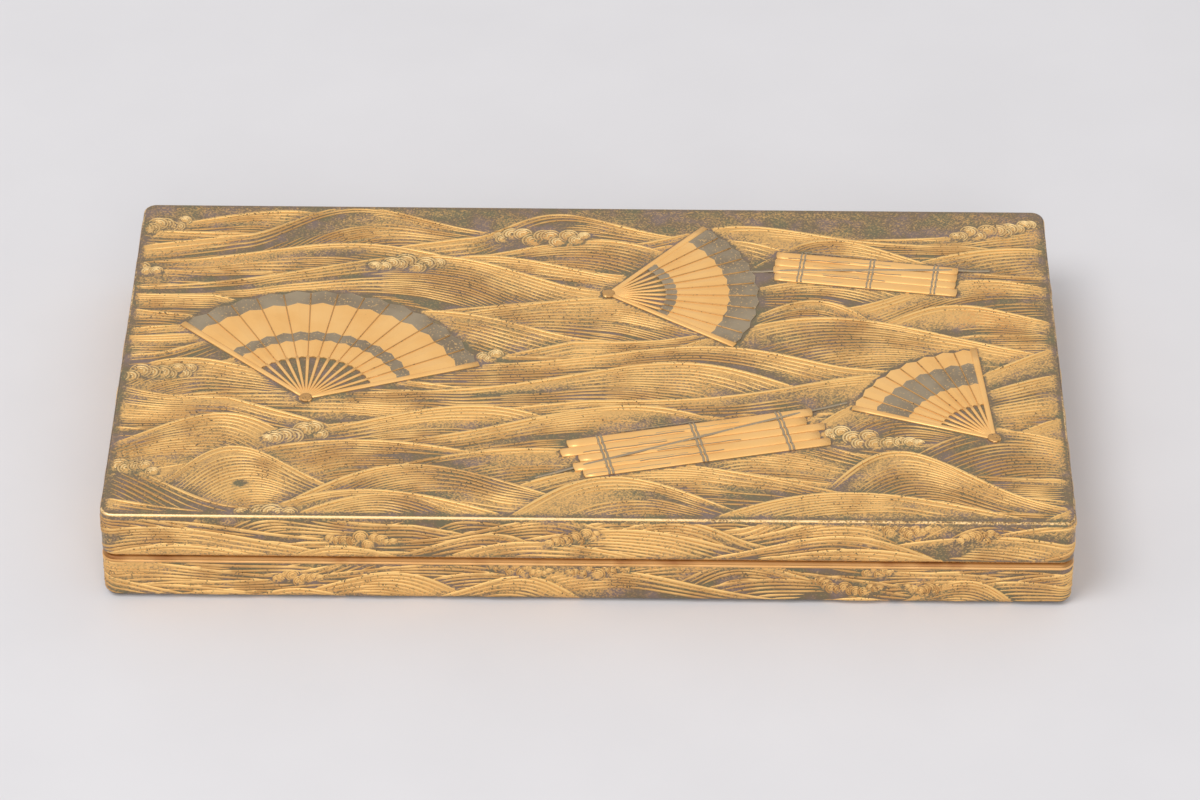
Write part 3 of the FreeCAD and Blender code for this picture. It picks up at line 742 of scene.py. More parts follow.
class Fan:
    """An open folding fan: pleated paper on ribs that turn about one rivet. Its colours
    change at each of the bands, which are shares of its reach."""

    INNER_SHARE = 0.38
    RIVET_RADIUS = 1.5
    RIB_WIDTH = 0.8
    RIB_RISE = 0.3
    GUARD_WIDTH = 1.7
    GUARD_RISE = 0.42
    FOLD_WIDTH = 0.34
    FOLD_RISE = 0.36
    RIDGE_RISE = 0.34
    VALLEY_RISE = 0.14
    RIDGE_SHORTER = 0.018

    def __init__(self, x, y, turn, sweep, reach, folds, bands):
        self.x = x
        self.y = y
        self.turn = math.radians(turn)
        self.sweep = math.radians(sweep)
        self.reach = reach
        self.folds = folds
        self.bands = bands

    def covers(self, x, y):
        across = x - HALF_LENGTH - self.x
        up = y - HALF_DEPTH - self.y
        away = np.maximum(np.hypot(across, up), 0.01)
        angle = np.mod(np.arctan2(up, across) - self.turn + math.pi, 2 * math.pi) - math.pi
        opened = np.abs(angle) < 0.5 * self.sweep + 1.2 / away
        return (opened & (away < self.reach + 0.55)) | (away < 1.5 * self.RIVET_RADIUS)

    def angle(self, share):
        return self.turn + self.sweep * (share - 0.5)

    def polar(self, radius, angle):
        return np.stack([self.x + radius * np.cos(angle), self.y + radius * np.sin(angle)], -1)

    def paper(self):
        """The pleated sheet, gold and pewter by turns from the ribs to the rim."""
        shares = np.linspace(0, 1, 2 * self.folds + 1)
        radial = np.linspace(self.INNER_SHARE, 1, 17)
        ridge = np.arange(len(shares)) % 2 == 1
        angle, radius = np.meshgrid(self.angle(shares), radial * self.reach)
        radius = radius - np.where(ridge, 0, self.RIDGE_SHORTER * self.reach) * radial[:, None]
        heights = TOP + np.where(ridge, self.RIDGE_RISE, self.VALLEY_RISE) + 0 * radius
        points, faces = relief(self.polar(radius, angle), heights, TOP)
        middles = 0.5 * (radial[:-1] + radial[1:])
        row_band = [int(np.searchsorted(self.bands, middle) % 2) for middle in middles]
        numbers = np.repeat(row_band, len(shares) - 1).tolist()
        return points, faces, numbers + [0] * (len(faces) - len(numbers))

    def stick(self, share, width, start, end, height):
        """One flat stick from near the rivet outwards, a little wider at its far end."""
        way = self.angle(share)
        along = np.linspace(start, end, 8)
        across = np.linspace(-0.5, 0.5, 5)
        taper = width * (0.6 + 0.4 * (along - start) / (end - start))
        side, forward = np.meshgrid(across, along)
        side = side * taper[:, None]
        x = self.x + forward * math.cos(way) - side * math.sin(way)
        y = self.y + forward * math.sin(way) + side * math.cos(way)
        crown = 1 - 1.6 * np.abs(across) ** 2
        return relief(np.stack([x, y], -1), TOP + height * crown + 0 * x, TOP)

    def sticks(self):
        inner = self.INNER_SHARE * self.reach
        forms = []
        for number in range(1, self.folds):
            share = number / self.folds
            rib = self.stick(share, self.RIB_WIDTH, -0.7, inner + 0.3, self.RIB_RISE)
            fold = self.stick(share, self.FOLD_WIDTH, inner, 0.975 * self.reach, self.FOLD_RISE)
            forms += [(*rib, 0), (*fold, 1)]
        for share in (0, 1):
            guard = self.stick(share, self.GUARD_WIDTH, -1.6, self.reach, self.GUARD_RISE)
            forms.append((*guard, 0))
        angle, radius = np.meshgrid(np.linspace(0, 2 * math.pi, 17), np.linspace(0.05, 1, 5))
        radius = radius * self.RIVET_RADIUS
        dome = TOP + 0.35 + 0.2 * np.sqrt(1 - (radius / (1.02 * self.RIVET_RADIUS)) ** 2)
        forms.append((*relief(self.polar(radius, angle), dome, TOP), 1))
        return forms


class Raft:
    """Cut logs lashed side by side, with a punt pole laid over them."""

    LOG_RADIUS = 1.45
    LOG_FOOT = 0.12
    LOG_RISE = 0.42
    LASHINGS = (-0.36, 0.02, 0.37)
    ROPE_WIDTH = 0.3
    ROPE_FOOT = 0.3
    ROPE_RISE = 0.22
    CRACK_WIDTH = 0.13
    CRACK_HEIGHT = 0.46
    POLE_WIDTH = 0.42
    POLE_ON_LOGS = 0.42
    POLE_ON_WATER = 0.04

    def __init__(self, x, y, turn, length, logs, seed):
        self.x = x
        self.y = y
        self.turn = math.radians(turn)
        self.length = length
        self.logs = logs
        chance = np.random.default_rng(seed)
        self.slip = chance.uniform(-0.035, 0.035, logs) * length
        self.girth = chance.uniform(0.86, 1.1, logs)
        self.half_width = logs * self.LOG_RADIUS

    def place(self, along, across):
        x = self.x + along * math.cos(self.turn) - across * math.sin(self.turn)
        y = self.y + along * math.sin(self.turn) + across * math.cos(self.turn)
        return x, y

    def covers(self, x, y):
        x = x - HALF_LENGTH - self.x
        y = y - HALF_DEPTH - self.y
        along = x * math.cos(self.turn) + y * math.sin(self.turn)
        across = y * math.cos(self.turn) - x * math.sin(self.turn)
        number = np.clip((across + self.half_width) // (2 * self.LOG_RADIUS), 0, self.logs - 1)
        slid = along - self.slip[number.astype(int)]
        on_logs = np.abs(slid) < 0.5 * self.length + 0.6
        on_logs &= np.abs(across) < self.half_width + 0.45
        pole = (np.abs(along) < 0.67 * self.length) & (np.abs(across - self.pole(along)) < 0.8)
        return on_logs | pole

    def pole(self, along):
        return 0.2 * self.half_width + 0.16 * along

    def timber(self):
        forms = []
        for number in range(self.logs):
            middle = (2 * number + 1) * self.LOG_RADIUS - self.half_width
            radius = self.LOG_RADIUS * self.girth[number] * 0.97
            across, along = np.meshgrid(np.linspace(-1, 1, 9), np.linspace(-0.5, 0.5, 20))
            crown = np.sqrt(np.clip(1 - (0.96 * across) ** 2, 0, 1))
            bulge = 0.25 * across**2 * np.sign(along) * (np.abs(along) > 0.49)
            along = along * self.length + self.slip[number] - bulge
            places = np.stack(self.place(along, middle + across * radius), -1)
            heights = TOP + self.LOG_FOOT + self.LOG_RISE * crown
            forms.append((*relief(places, heights, TOP), 0))
        return forms

    def line(self, along, across, z, half_width):
        x, y = self.place(along, across)
        return even_line(np.stack([x, y, z + 0 * x], axis=1), UP, half_width)

    def ropes(self):
        """Lashings of two turns each, a crack or two in each log, and the pole."""
        lines = []
        for number in range(2 * self.logs):
            middle = (number + 0.65 + 0.6 * (number % 2)) * self.LOG_RADIUS - self.half_width
            start = -0.46 + 0.37 * ((0.61 * number) % 1)
            along = np.linspace(start, start + 0.34, 9) * self.length
            across = middle + 0.12 * np.sin(along)
            lines.append(self.line(along, across, TOP + self.CRACK_HEIGHT, self.CRACK_WIDTH))
        bend = 0.5 * np.cos(np.linspace(-math.pi, math.pi, 8 * self.logs + 1) * self.logs)
        across = np.linspace(-1, 1, len(bend)) * (self.half_width + 0.1)
        crown = np.abs(np.cos(0.5 * math.pi * across / self.LOG_RADIUS))
        crown = 1 - crown if self.logs % 2 == 0 else crown
        z = TOP + self.ROPE_FOOT + self.ROPE_RISE * crown
        for share in self.LASHINGS:
            for beside in (-0.45, 0.45):
                along = share * self.length + beside + 0.1 * bend
                lines.append(self.line(along, across, z, self.ROPE_WIDTH))
        along = np.linspace(-0.66, 0.66, 30) * self.length
        over_logs = np.abs(along) < 0.52 * self.length
        z = np.where(over_logs, TOP + self.POLE_ON_LOGS, TOP + self.POLE_ON_WATER)
        z = np.convolve(np.pad(z, 1, mode="edge"), np.full(3, 1 / 3), mode="valid")
        width = self.POLE_WIDTH * (0.75 + 0.25 * np.cos(np.linspace(-1, 1, 30)))
        lines.append(self.line(along, self.pole(along), z, width))
        return lines


# Materials

NOISE = "ShaderNodeTexNoise"
CELLS = "ShaderNodeTexVoronoi"
RAMP = "ShaderNodeValToRGB"
MIX = "ShaderNodeMix"
RANGE = "ShaderNodeMapRange"
BUMP = "ShaderNodeBump"
COLOUR = {"data_type": "RGBA"}
SMOOTH = {"interpolation_type": "SMOOTHSTEP"}


def finish(name, surface, *tones, **values):
    """A material from one of the surfaces below, which lays its nodes over the piece's own
    coordinates, in metres, and gives what its shader takes."""
    material = bpy.data.materials.new(name)
    material.use_nodes = True
    tree = material.node_tree
    where = add(tree, "ShaderNodeTexCoord", out="Object")
    fill(tree, tree.nodes["Principled BSDF"], surface(tree, where, *tones, **values))
    return material


def sized(where, size, detail=0.0):
    """What a pattern node takes for a pattern of a size in millimetres."""
    return {"Vector": where, "Scale": 1 / (size * MM), "Detail": detail}


def grains(tree, where, size):
    """A chance value, from 0 to 1, for each grain of a size in millimetres."""
    colour = add(tree, CELLS, sized(where, size), "Color")
    return add(tree, "ShaderNodeSeparateColor", [colour])


def total(tree, terms, base=0.0):
    """A base plus each value times its share."""
    result = base
    for value, share in terms:
        result = add(tree, "ShaderNodeMath", [value, share, result], operation="MULTIPLY_ADD")
    return result


def sprinkled_gold_lacquer(tree, where):
    """Gold powder sprinkled on dark brown lacquer and polished down: warm satin metal where
    it is dense, dark ground between the grains where it thins, worn in soft patches.
    Real powder is 0.1 to 0.2 mm across; the grains are 0.34 mm, so that they show."""
    dense = add(tree, "ShaderNodeAttribute", out="Fac", attribute_name="gold")
    grain = grains(tree, where, 0.34)
    fine = add(tree, NOISE, sized(where, 0.6, 1.0))
    worn = add(tree, NOISE, sized(where, 14, 3.0))
    level = total(tree, [(dense, 1.3), (grain, 0.42), (fine, 0.4), (worn, 0.28)], -0.7)
    share = add(tree, RANGE, [level, -0.12, 0.52], **SMOOTH)
    cloud = add(tree, NOISE, sized(where, 28, 2.0))
    tone = total(tree, [(cloud, 0.7), (grain, 0.3)])
    golds = [(0.22, "#C9A26B"), (0.42, "#E0B06B"), (0.62, "#EFBD74"), (0.8, "#E8A75F")]
    gold = add(tree, RAMP, [tone], stops=golds)
    tint = add(tree, NOISE, sized(where, 6, 2.0))
    browns = [(0.35, "#70674A"), (0.5, "#77644A"), (0.66, "#7E6A60")]
    ground = add(tree, RAMP, [tint], stops=browns)
    height = total(tree, [(share, 0.7), (grain, 0.3)])
    return {
        "Base Color": add(tree, MIX, {0: share, 6: ground, 7: gold}, 2, **COLOUR),
        "Metallic": add(tree, RANGE, [share, 0, 1, 0.05, 0.4], **SMOOTH),
        "Roughness": add(tree, RANGE, [share, 0, 1, 0.36, 0.46], **SMOOTH),
        "Normal": add(tree, BUMP, {"Height": height, "Distance": 0.02 * MM}),
    }


def raised_gold_lacquer(tree, where, light, dull, dark, dulled=0.0, sound=1.08):
    """Lines and forms built up in lacquer and dusted with gold, burnished on top: brighter
    than the ground, rubbed to a duller tone in places, with dark pinholes of 0.3 mm."""
    worn = add(tree, NOISE, sized(where, 9, 3.0))
    grain = grains(tree, where, 0.3)
    dense = add(tree, "ShaderNodeAttribute", out="Fac", attribute_name="gold")
    level = total(tree, [(worn, 0.8), (dense, -0.4)], dulled)
    dullness = add(tree, RANGE, [level, 0.25, 0.62], **SMOOTH)
    tone = add(tree, MIX, {0: dullness, 6: light, 7: dull}, 2, **COLOUR)
    level = total(tree, [(grain, 1.0), (worn, 0.35)])
    pinholes = add(tree, RANGE, [level, sound, sound + 0.12], **SMOOTH)
    brushed = add(tree, NOISE, sized(where, 0.4, 1.0))
    bump = {"Height": brushed, "Distance": 0.02 * MM, "Strength": 0.6}
    return {
        "Base Color": add(tree, MIX, {0: pinholes, 6: tone, 7: dark}, 2, **COLOUR),
        "Metallic": 0.45,
        "Roughness": add(tree, RANGE, [worn, 0.3, 0.7, 0.36, 0.5], **SMOOTH),
        "Normal": add(tree, BUMP, bump),
    }


def gilt_rim_lacquer(tree, where, *tones):
    """Gold brushed on the bevels of the rims: warm and close-grained, in three soft tones."""
    worn = add(tree, NOISE, sized(where, 11, 3.0))
    tone = add(tree, RAMP, [worn], stops=list(zip((0.3, 0.55, 0.72), tones)))
    brushed = add(tree, NOISE, sized(where, 0.5, 1.0))
    bump = add(tree, BUMP, {"Height": brushed, "Distance": 0.02 * MM, "Strength": 0.5})
    return {"Base Color": tone, "Metallic": 0.45, "Roughness": 0.4, "Normal": bump}


def rubbed_edge_lacquer(tree, where):
    """The lid's top edge: pale burnished gold, a painted highlight, where the powder lasts,
    and rubbed through to the brown lacquer, in crumbling patches, where it doesn't."""
    dense = add(tree, "ShaderNodeAttribute", out="Fac", attribute_name="gold")
    worn = add(tree, NOISE, sized(where, 5, 3.0))
    grain = grains(tree, where, 0.34)
    level = total(tree, [(dense, 1.0), (worn, 1.1), (grain, 0.45)], -0.82)
    lasting = add(tree, RANGE, [level, 0.0, 0.8], **SMOOTH)
    # The pale tones paint the lamp's highlight along the edge; the browns are wear
    tones = [(0.0, "#67523A"), (0.35, "#A98350"), (0.65, "#E9C489"), (1.0, "#F6D8A4")]
    tone = add(tree, RAMP, [lasting], stops=tones)
    bump = add(tree, BUMP, {"Height": grain, "Distance": 0.02 * MM, "Strength": 0.5})
    return {"Base Color": tone, "Metallic": 0.4, "Roughness": 0.34, "Normal": bump}


def flake_lacquer(tree, where, ground, flakes, coverage):
    """Gold flakes sunk in clear amber lacquer over a brown ground and polished flat: a
    glossy coat, with flakes of 0.5 mm that lie at slightly different angles, shown by
    painted glints and painted shade flake by flake."""
    grain = grains(tree, where, 0.5)
    cloud = add(tree, NOISE, sized(where, 16, 2.0))
    level = total(tree, [(grain, 1.0), (cloud, 0.5)], coverage - 1.1)
    share = add(tree, RANGE, [level, -0.04, 0.1], **SMOOTH)
    # Painted glint and shade: some flakes in the flake tone, others darker, as if turned from the
    # light
    lit = grains(tree, where, 0.37)
    tone = add(tree, MIX, {0: lit, 6: flakes, 7: "#A9702F"}, 2, **COLOUR)
    return {
        "Base Color": add(tree, MIX, {0: share, 6: ground, 7: tone}, 2, **COLOUR),
        "Metallic": add(tree, RANGE, [share, 0, 1, 0, 0.7], **SMOOTH),
        "Roughness": 0.34,
        "Coat Weight": 0.6,
        "Coat Roughness": 0.12,
        "Normal": add(tree, BUMP, {"Height": grain, "Distance": 0.01 * MM, "Strength": 0.3}),
    }


# The lacquer over the box

gold_ground = finish("sprinkled_gold_lacquer", sprinkled_gold_lacquer)
gold_line = finish(
    "raised_gold_lacquer", raised_gold_lacquer, "#FACB80", "#C8985B", "#6B5A43", dulled=0.3
)
foam_gold = finish(
    "raised_foam_lacquer", raised_gold_lacquer, "#FFDC9C", "#DDB578", "#6B5A43", dulled=0.3
)
bright_gold = finish(
    "burnished_gold_lacquer", raised_gold_lacquer, "#FFC97E", "#F6BD70", "#9A7A4E", sound=1.2
)
pewter = finish("tarnished_silver_lacquer", raised_gold_lacquer, "#AA987D", "#8C7A62", "#D9B27A")
# Lit and shaded copies of one gilt: the lid's downward bevel is painted lighter against its shade,
# and the base's bevel painted darker, as shade in the groove between them
lid_rim_painted_light = finish("lid_rim_lacquer", gilt_rim_lacquer, "#F5C27E", "#FCCF90", "#E2AC69")
base_rim_painted_shade = finish("base_rim_lacquer", gilt_rim_lacquer, "#A67742", "#B08049", "#935F2E")
rim_gold = finish("gilt_rim_lacquer", gilt_rim_lacquer, "#E8B06C", "#F2BC79", "#CF9A5C")
edge_highlight_gold = finish("rubbed_edge_lacquer", rubbed_edge_lacquer)

line_sweep = lines_tree()

# Where each fan's rivet and each raft's middle lies, how it is turned, and its sizes
fans = (
    Fan(-66, -17, 78, 118, 42, 13, (0.52, 0.62, 0.9)),
    Fan(4, 25, 8, 84, 36, 10, (0.46, 0.8)),
    Fan(93, -30, 128, 66, 34, 8, (0.6, 0.86)),
)
rafts = (Raft(24, -33, 13, 58, 5, 4), Raft(66, 34, -8, 44, 4, 6))
bare_places = [worn_spot, *(motif.covers for motif in fans + rafts)]
top_sea = Sea(2 * HALF_LENGTH, 2 * HALF_DEPTH, TOP_SEA, bare_places)

LID_SHOULDER = TOP - TOP_EDGE_RADIUS
LID_LOW = SEAM + RIM_BEVEL
LID_BAND = LID_SHOULDER - LID_LOW
BASE_LOW = 0.8
BEAD_HALF_WIDTH = 0.38
BASE_BAND = SEAM - RIM_BEVEL - 2 * BEAD_HALF_WIDTH - BASE_LOW

# Where the gold of the skin is worn off: how far in from the lid's edges and down its sides,
# up from the foot, and which part of the rounded top edge, from 0 to 1, keeps it as a painted
# highlight
BARE_MARGIN = 1.3
BAND_TOP_FADE = 1.1
FOOT_FADE = 1.5
EDGE_HIGHLIGHT_BAND = (0.5, 0.97)
BARE_EDGE_GOLD = 0.12

lid_sea = Sea(GIRTH, LID_BAND, LID_SEA)
base_sea = Sea(GIRTH, BASE_BAND, BASE_SEA)


def lid_gold(ring, z):
    """Gold at one ring of the lid's skin: the top's sea, a band of the edge with a painted
    highlight, brightest at the front left, bare beside it, a bare line under it, then the band's
    sea."""
    if z >= TOP:
        from_edge = np.minimum(HALF_LENGTH - np.abs(ring[:, 0]), HALF_DEPTH - np.abs(ring[:, 1]))
        kept = np.clip((from_edge - TOP_EDGE_RADIUS) / BARE_MARGIN, 0, 1)
        return kept * top_sea.gold(ring[:, 0] + HALF_LENGTH, ring[:, 1] + HALF_DEPTH)
    risen = (z - TOP) / TOP_EDGE_RADIUS + 1
    if risen > 0 and not EDGE_HIGHLIGHT_BAND[0] < risen < EDGE_HIGHLIGHT_BAND[1]:
        return np.full(len(ring), BARE_EDGE_GOLD)
    if risen > 0:
        # Painted highlight: the front edge is brightest towards the left, where the lamp's
        # highlight falls, and the other sides are duller; the noise is wear
        front = ring[:, 1] < CORNER_RADIUS - HALF_DEPTH
        rubbed = np.where(front, 0.85 - 0.6 * np.clip((ring[:, 0] - 10) / 80, 0, 1), 0.25)
        return rubbed + 0.25 * smooth_noise(RING_AT[:-1] / 20, 0 * RING_AT[:-1], 5)
    fade = min(0.3 + (LID_SHOULDER - z) / BAND_TOP_FADE, 1)
    return fade * band_gold(lid_sea, z - LID_LOW)


def base_gold(_, z):
    """Gold at one ring of the base's skin, thinner towards the foot."""
    return min(0.2 + z / FOOT_FADE, 1) * band_gold(base_sea, z - BASE_LOW)


def band_gold(sea, height):
    """Gold round the sides, at one height above the foot of a sea that goes round them."""
    heights = np.full(len(RING), min(max(height, 0), sea.depth))
    return sea.gold(RING_AT[:-1], heights)


def rounded(radius, centre_z, start, end, steps, number=0):
    """Rings round an outside edge of a radius, from one angle above level to another."""
    turn = np.radians(np.linspace(start, end, steps))
    out = radius * np.cos(turn) - radius + SKIN_THICKNESS * np.cos(turn)
    high = centre_z + (radius + SKIN_THICKNESS) * np.sin(turn)
    return [(*place, number) for place in zip(out, high)]


def upright(low, high):
    """Rings down a flat side."""
    steps = round((high - low) / SKIN_STEP)
    return [(SKIN_THICKNESS, z, 0) for z in np.linspace(high, low, steps + 1)[1:-1]]


flat_offsets = np.linspace(-CORNER_RADIUS, -TOP_EDGE_RADIUS, 5)
lid_profile = [
    *((offset, TOP + SKIN_THICKNESS, 0) for offset in flat_offsets),
    *rounded(TOP_EDGE_RADIUS, LID_SHOULDER, 74, 62, 2),
    # The edge material, a painted highlight, covers only this narrow band of the rounded edge
    *rounded(TOP_EDGE_RADIUS, LID_SHOULDER, 50, 38, 2, 2),
    *rounded(TOP_EDGE_RADIUS, LID_SHOULDER, 20, 0, 2),
    *upright(LID_LOW, LID_SHOULDER),
    (SKIN_THICKNESS, LID_LOW, 0),
    (SKIN_THICKNESS - 0.5 * RIM_BEVEL, LID_LOW - 0.5 * RIM_BEVEL, 1),
    (SKIN_THICKNESS - RIM_BEVEL, SEAM + 0.04, 1),
    (-RIM_BEVEL - 0.3, SEAM + 0.2, 1),
]
base_profile = [
    (-RIM_BEVEL - 0.3, SEAM - 0.2, 1),
    (SKIN_THICKNESS - RIM_BEVEL, SEAM - 0.04, 1),
    (SKIN_THICKNESS - 0.5 * RIM_BEVEL, SEAM - 0.5 * RIM_BEVEL, 1),
    (SKIN_THICKNESS, SEAM - RIM_BEVEL, 1),
    *upright(FOOT_EDGE_RADIUS, SEAM - RIM_BEVEL),
    *rounded(FOOT_EDGE_RADIUS, FOOT_EDGE_RADIUS, 0, -78, 8),
    (-FOOT_EDGE_RADIUS, 0.01, 0),
    (-FOOT_EDGE_RADIUS - 0.3, 0.2, 0),
]
lid_skins = [gold_ground, lid_rim_painted_light, edge_highlight_gold]
skin("lid_lacquer", lid_profile, lid_gold, lid_skins, "lid", top=True)
skin("base_lacquer", base_profile, base_gold, [gold_ground, base_rim_painted_shade], "base")

bead = RING + RING_OUTWARD * (SKIN_THICKNESS - LINE_SINK)
bead[:, 2] = SEAM - RIM_BEVEL - BEAD_HALF_WIDTH
bead = even_line(loop(bead), loop(RING_OUTWARD), BEAD_HALF_WIDTH)
raise_lines("base_rim_bead", [bead], rim_gold, "base")
waves = on_top(top_sea, top_sea.wave_lines())
raise_lines("lid_wave_lines", waves, gold_line, "lid")
raise_lines("lid_foam", on_top(top_sea, top_sea.foam_lines()), foam_gold, "lid")
band = round_sides(lid_sea, lid_sea.wave_lines() + lid_sea.foam_lines(), LID_LOW)
raise_lines("lid_band_waves", band, gold_line, "lid")
band = round_sides(base_sea, base_sea.wave_lines() + base_sea.foam_lines(), BASE_LOW)
raise_lines("base_band_waves", band, gold_line, "base")

for number, fan in enumerate(fans, 1):
    tones = [bright_gold, pewter] if number != 2 else [pewter, bright_gold]
    join_forms(f"fan_{number}_paper", [fan.paper()], tones, "lid", smooth=False)
    join_forms(f"fan_{number}_sticks", fan.sticks(), [bright_gold, gold_line], "lid")
for number, raft in enumerate(rafts, 1):
    join_forms(f"raft_{number}_logs", raft.timber(), [bright_gold], "lid")
    raise_lines(f"raft_{number}_ropes", raft.ropes(), pewter, "lid")


# What the box holds


def ground_slate(tree, where):
    """Slate, sawn and rubbed smooth: dark blue grey with soft bands, a few mica specks,
    and old ink dried black in the deep end."""
    bands = add(tree, NOISE, sized(where, 22, 3.0))
    fine = add(tree, NOISE, sized(where, 0.7, 2.0))
    greys = [(0.32, "#3C3E42"), (0.5, "#4A4C50"), (0.68, "#595A5C")]
    tone = add(tree, RAMP, [total(tree, [(bands, 0.75), (fine, 0.25)])], stops=greys)
    height = add(tree, "ShaderNodeSeparateXYZ", [where], "Z")
    stained = total(tree, [(height, 1.0), (fine, 1.2 * MM)])
    above_ink = add(tree, RANGE, [stained, 9.2 * MM, 11.2 * MM], **SMOOTH)
    specks = add(tree, RANGE, [grains(tree, where, 0.5), 0.982, 0.99], **SMOOTH)
    stone = add(tree, MIX, {0: specks, 6: tone, 7: "#8B8C8A"}, 2, **COLOUR)
    return {
        "Base Color": add(tree, MIX, {0: above_ink, 6: "#1D1D1F", 7: stone}, 2, **COLOUR),
        "Roughness": add(tree, RANGE, [fine, 0.3, 0.7, 0.42, 0.6], **SMOOTH),
        "Normal": add(tree, BUMP, {"Height": fine, "Distance": 0.03 * MM, "Strength": 0.6}),
    }


def patinated_bronze(tree, where):
    """Cast bronze with a brown patina, rubbed to bare metal high up and grey green low down."""
    worn = add(tree, NOISE, sized(where, 4, 3.0))
    height = add(tree, "ShaderNodeSeparateXYZ", [where], "Z")
    high = add(tree, RANGE, [height, 14.5 * MM, 16.8 * MM], **SMOOTH)
    low = add(tree, RANGE, [height, 8.5 * MM, 5.5 * MM], **SMOOTH)
    rubbed = total(tree, [(high, 0.6), (worn, 0.7)])
    browns = [(0.4, "#5A4029"), (0.62, "#7C5A36"), (0.85, "#B5864E")]
    brown = add(tree, RAMP, [rubbed], stops=browns)
    aged = total(tree, [(low, 0.6), (worn, 0.6)])
    patina = add(tree, RANGE, [aged, 0.6, 0.95], **SMOOTH)
    cast = add(tree, NOISE, sized(where, 0.8, 2.0))
    return {
        "Base Color": add(tree, MIX, {0: patina, 6: brown, 7: "#5F6B55"}, 2, **COLOUR),
        "Metallic": add(tree, RANGE, [patina, 0, 1, 0.85, 0.2], **SMOOTH),
        "Roughness": add(tree, RANGE, [worn, 0.3, 0.7, 0.34, 0.52], **SMOOTH),
        "Normal": add(tree, BUMP, {"Height": cast, "Distance": 0.05 * MM, "Strength": 0.6}),
    }


def black_lacquer_with_gold(tree, where):
    """Polished black brown lacquer, with gold powder that thins away from both ends of a
    brush. The powder is 0.1 mm across in life; the grains are 0.4 mm, so that they show."""
    along = add(tree, "ShaderNodeSeparateXYZ", [where], "X")
    butt = add(tree, RANGE, [along, -72 * MM, -99 * MM], **SMOOTH)
    cap = add(tree, RANGE, [along, 22 * MM, 52 * MM], **SMOOTH)
    dense = total(tree, [(butt, 0.62), (cap, 0.62)])
    level = total(tree, [(dense, 1.0), (grains(tree, where, 0.4), 0.7)], -0.72)
    share = add(tree, RANGE, [level, 0.0, 0.12], **SMOOTH)
    cloud = add(tree, NOISE, sized(where, 7, 3.0))
    ground = add(tree, MIX, {0: cloud, 6: "#241A15", 7: "#352419"}, 2, **COLOUR)
    return {
        "Base Color": add(tree, MIX, {0: share, 6: ground, 7: "#DBA65C"}, 2, **COLOUR),
        "Metallic": add(tree, RANGE, [share, 0, 1, 0, 0.6], **SMOOTH),
        "Roughness": 0.3,
        "Coat Weight": 0.5,
        "Coat Roughness": 0.1,
    }


def goat_hair(tree, where):
    """Bleached goat hair, tied and combed to a point: cream, a little darker hair by hair."""
    combed = add(tree, "ShaderNodeMapping", {"Vector": where, "Scale": (0.06, 1, 1)})
    strand = add(tree, NOISE, sized(combed, 0.4, 1.0))
    creams = [(0.3, "#C9B38D"), (0.5, "#E0D0B0"), (0.7, "#EDE3CC")]
    tone = add(tree, RAMP, [strand], stops=creams)
    return {"Base Color": tone, "Roughness": 0.55, "Sheen Weight": 0.2}


def gilt_brass(tree, where):
    """Brass plated with gold and burnished: warm metal with fine rubbing marks."""
    worn = add(tree, NOISE, sized(where, 3, 3.0))
    tone = add(tree, RAMP, [worn], stops=[(0.35, "#D6A552"), (0.6, "#E7BC6C")])
    rough = add(tree, RANGE, [worn, 0.3, 0.7, 0.24, 0.38], **SMOOTH)
    marks = add(tree, NOISE, sized(where, 0.5, 2.0))
    bump = add(tree, BUMP, {"Height": marks, "Distance": 0.015 * MM, "Strength": 0.5})
    return {"Base Color": tone, "Metallic": 1.0, "Roughness": rough, "Normal": bump}


def ground_steel(tree, where):
    """Carbon steel ground along the blade: bright metal with lengthways scratches."""
    lengthways = add(tree, "ShaderNodeMapping", {"Vector": where, "Scale": (0.03, 1, 1)})
    scratch = add(tree, NOISE, sized(lengthways, 0.25, 2.0))
    cloud = add(tree, NOISE, sized(where, 6, 3.0))
    tone = add(tree, RAMP, [cloud], stops=[(0.35, "#A6A8AA"), (0.6, "#C3C4C5")])
    rough = add(tree, RANGE, [scratch, 0.3, 0.7, 0.24, 0.4], **SMOOTH)
    bump = add(tree, BUMP, {"Height": scratch, "Distance": 0.01 * MM, "Strength": 0.6})
    return {"Base Color": tone, "Metallic": 1.0, "Roughness": rough, "Normal": bump}


def pressed_ink(tree, where):
    """Soot and glue pressed in a wooden mould: near black with a dull sheen and fine pits."""
    cloud = add(tree, NOISE, sized(where, 5, 3.0))
    tone = add(tree, RAMP, [cloud], stops=[(0.35, "#1B1A1B"), (0.65, "#2B2A2C")])
    rough = add(tree, RANGE, [cloud, 0.3, 0.7, 0.4, 0.58], **SMOOTH)
    pits = add(tree, NOISE, sized(where, 0.6, 2.0))
    bump = add(tree, BUMP, {"Height": pits, "Distance": 0.05 * MM, "Strength": 0.5})
    return {"Base Color": tone, "Roughness": rough, "Normal": bump}


def frame_line(low, high, radius, z, half_width):
    """A rounded oblong laid flat at a height, between its lowest and its highest corner."""
    points = []
    for number, (side_x, side_y) in enumerate(((1, 1), (-1, 1), (-1, -1), (1, -1))):
        x = (high if side_x > 0 else low)[0] - side_x * radius
        y = (high if side_y > 0 else low)[1] - side_y * radius
        for turn in np.radians(np.linspace(90 * number, 90 * number + 90, 7)):
            points.append((x + radius * math.cos(turn), y + radius * math.sin(turn), z))
    return even_line(loop(points), UP, half_width)


def ring_line(middle, radius, half_width, steps=40, upright=False):
    """A ring laid flat at a height, or, upright, round something that points along x."""
    turn = np.linspace(0, 2 * math.pi, steps, endpoint=False)
    flat = (np.cos(turn), np.sin(turn), 0 * turn)
    out = np.stack(np.roll(flat, 1, axis=0) if upright else flat, axis=1)
    return even_line(loop(middle + radius * out), loop(out) if upright else UP, half_width)


def corners(node):
    """A node's lowest and highest corners and its middle, in millimetres."""
    low, high = (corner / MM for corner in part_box(node))
    return low, high, 0.5 * (low + high)


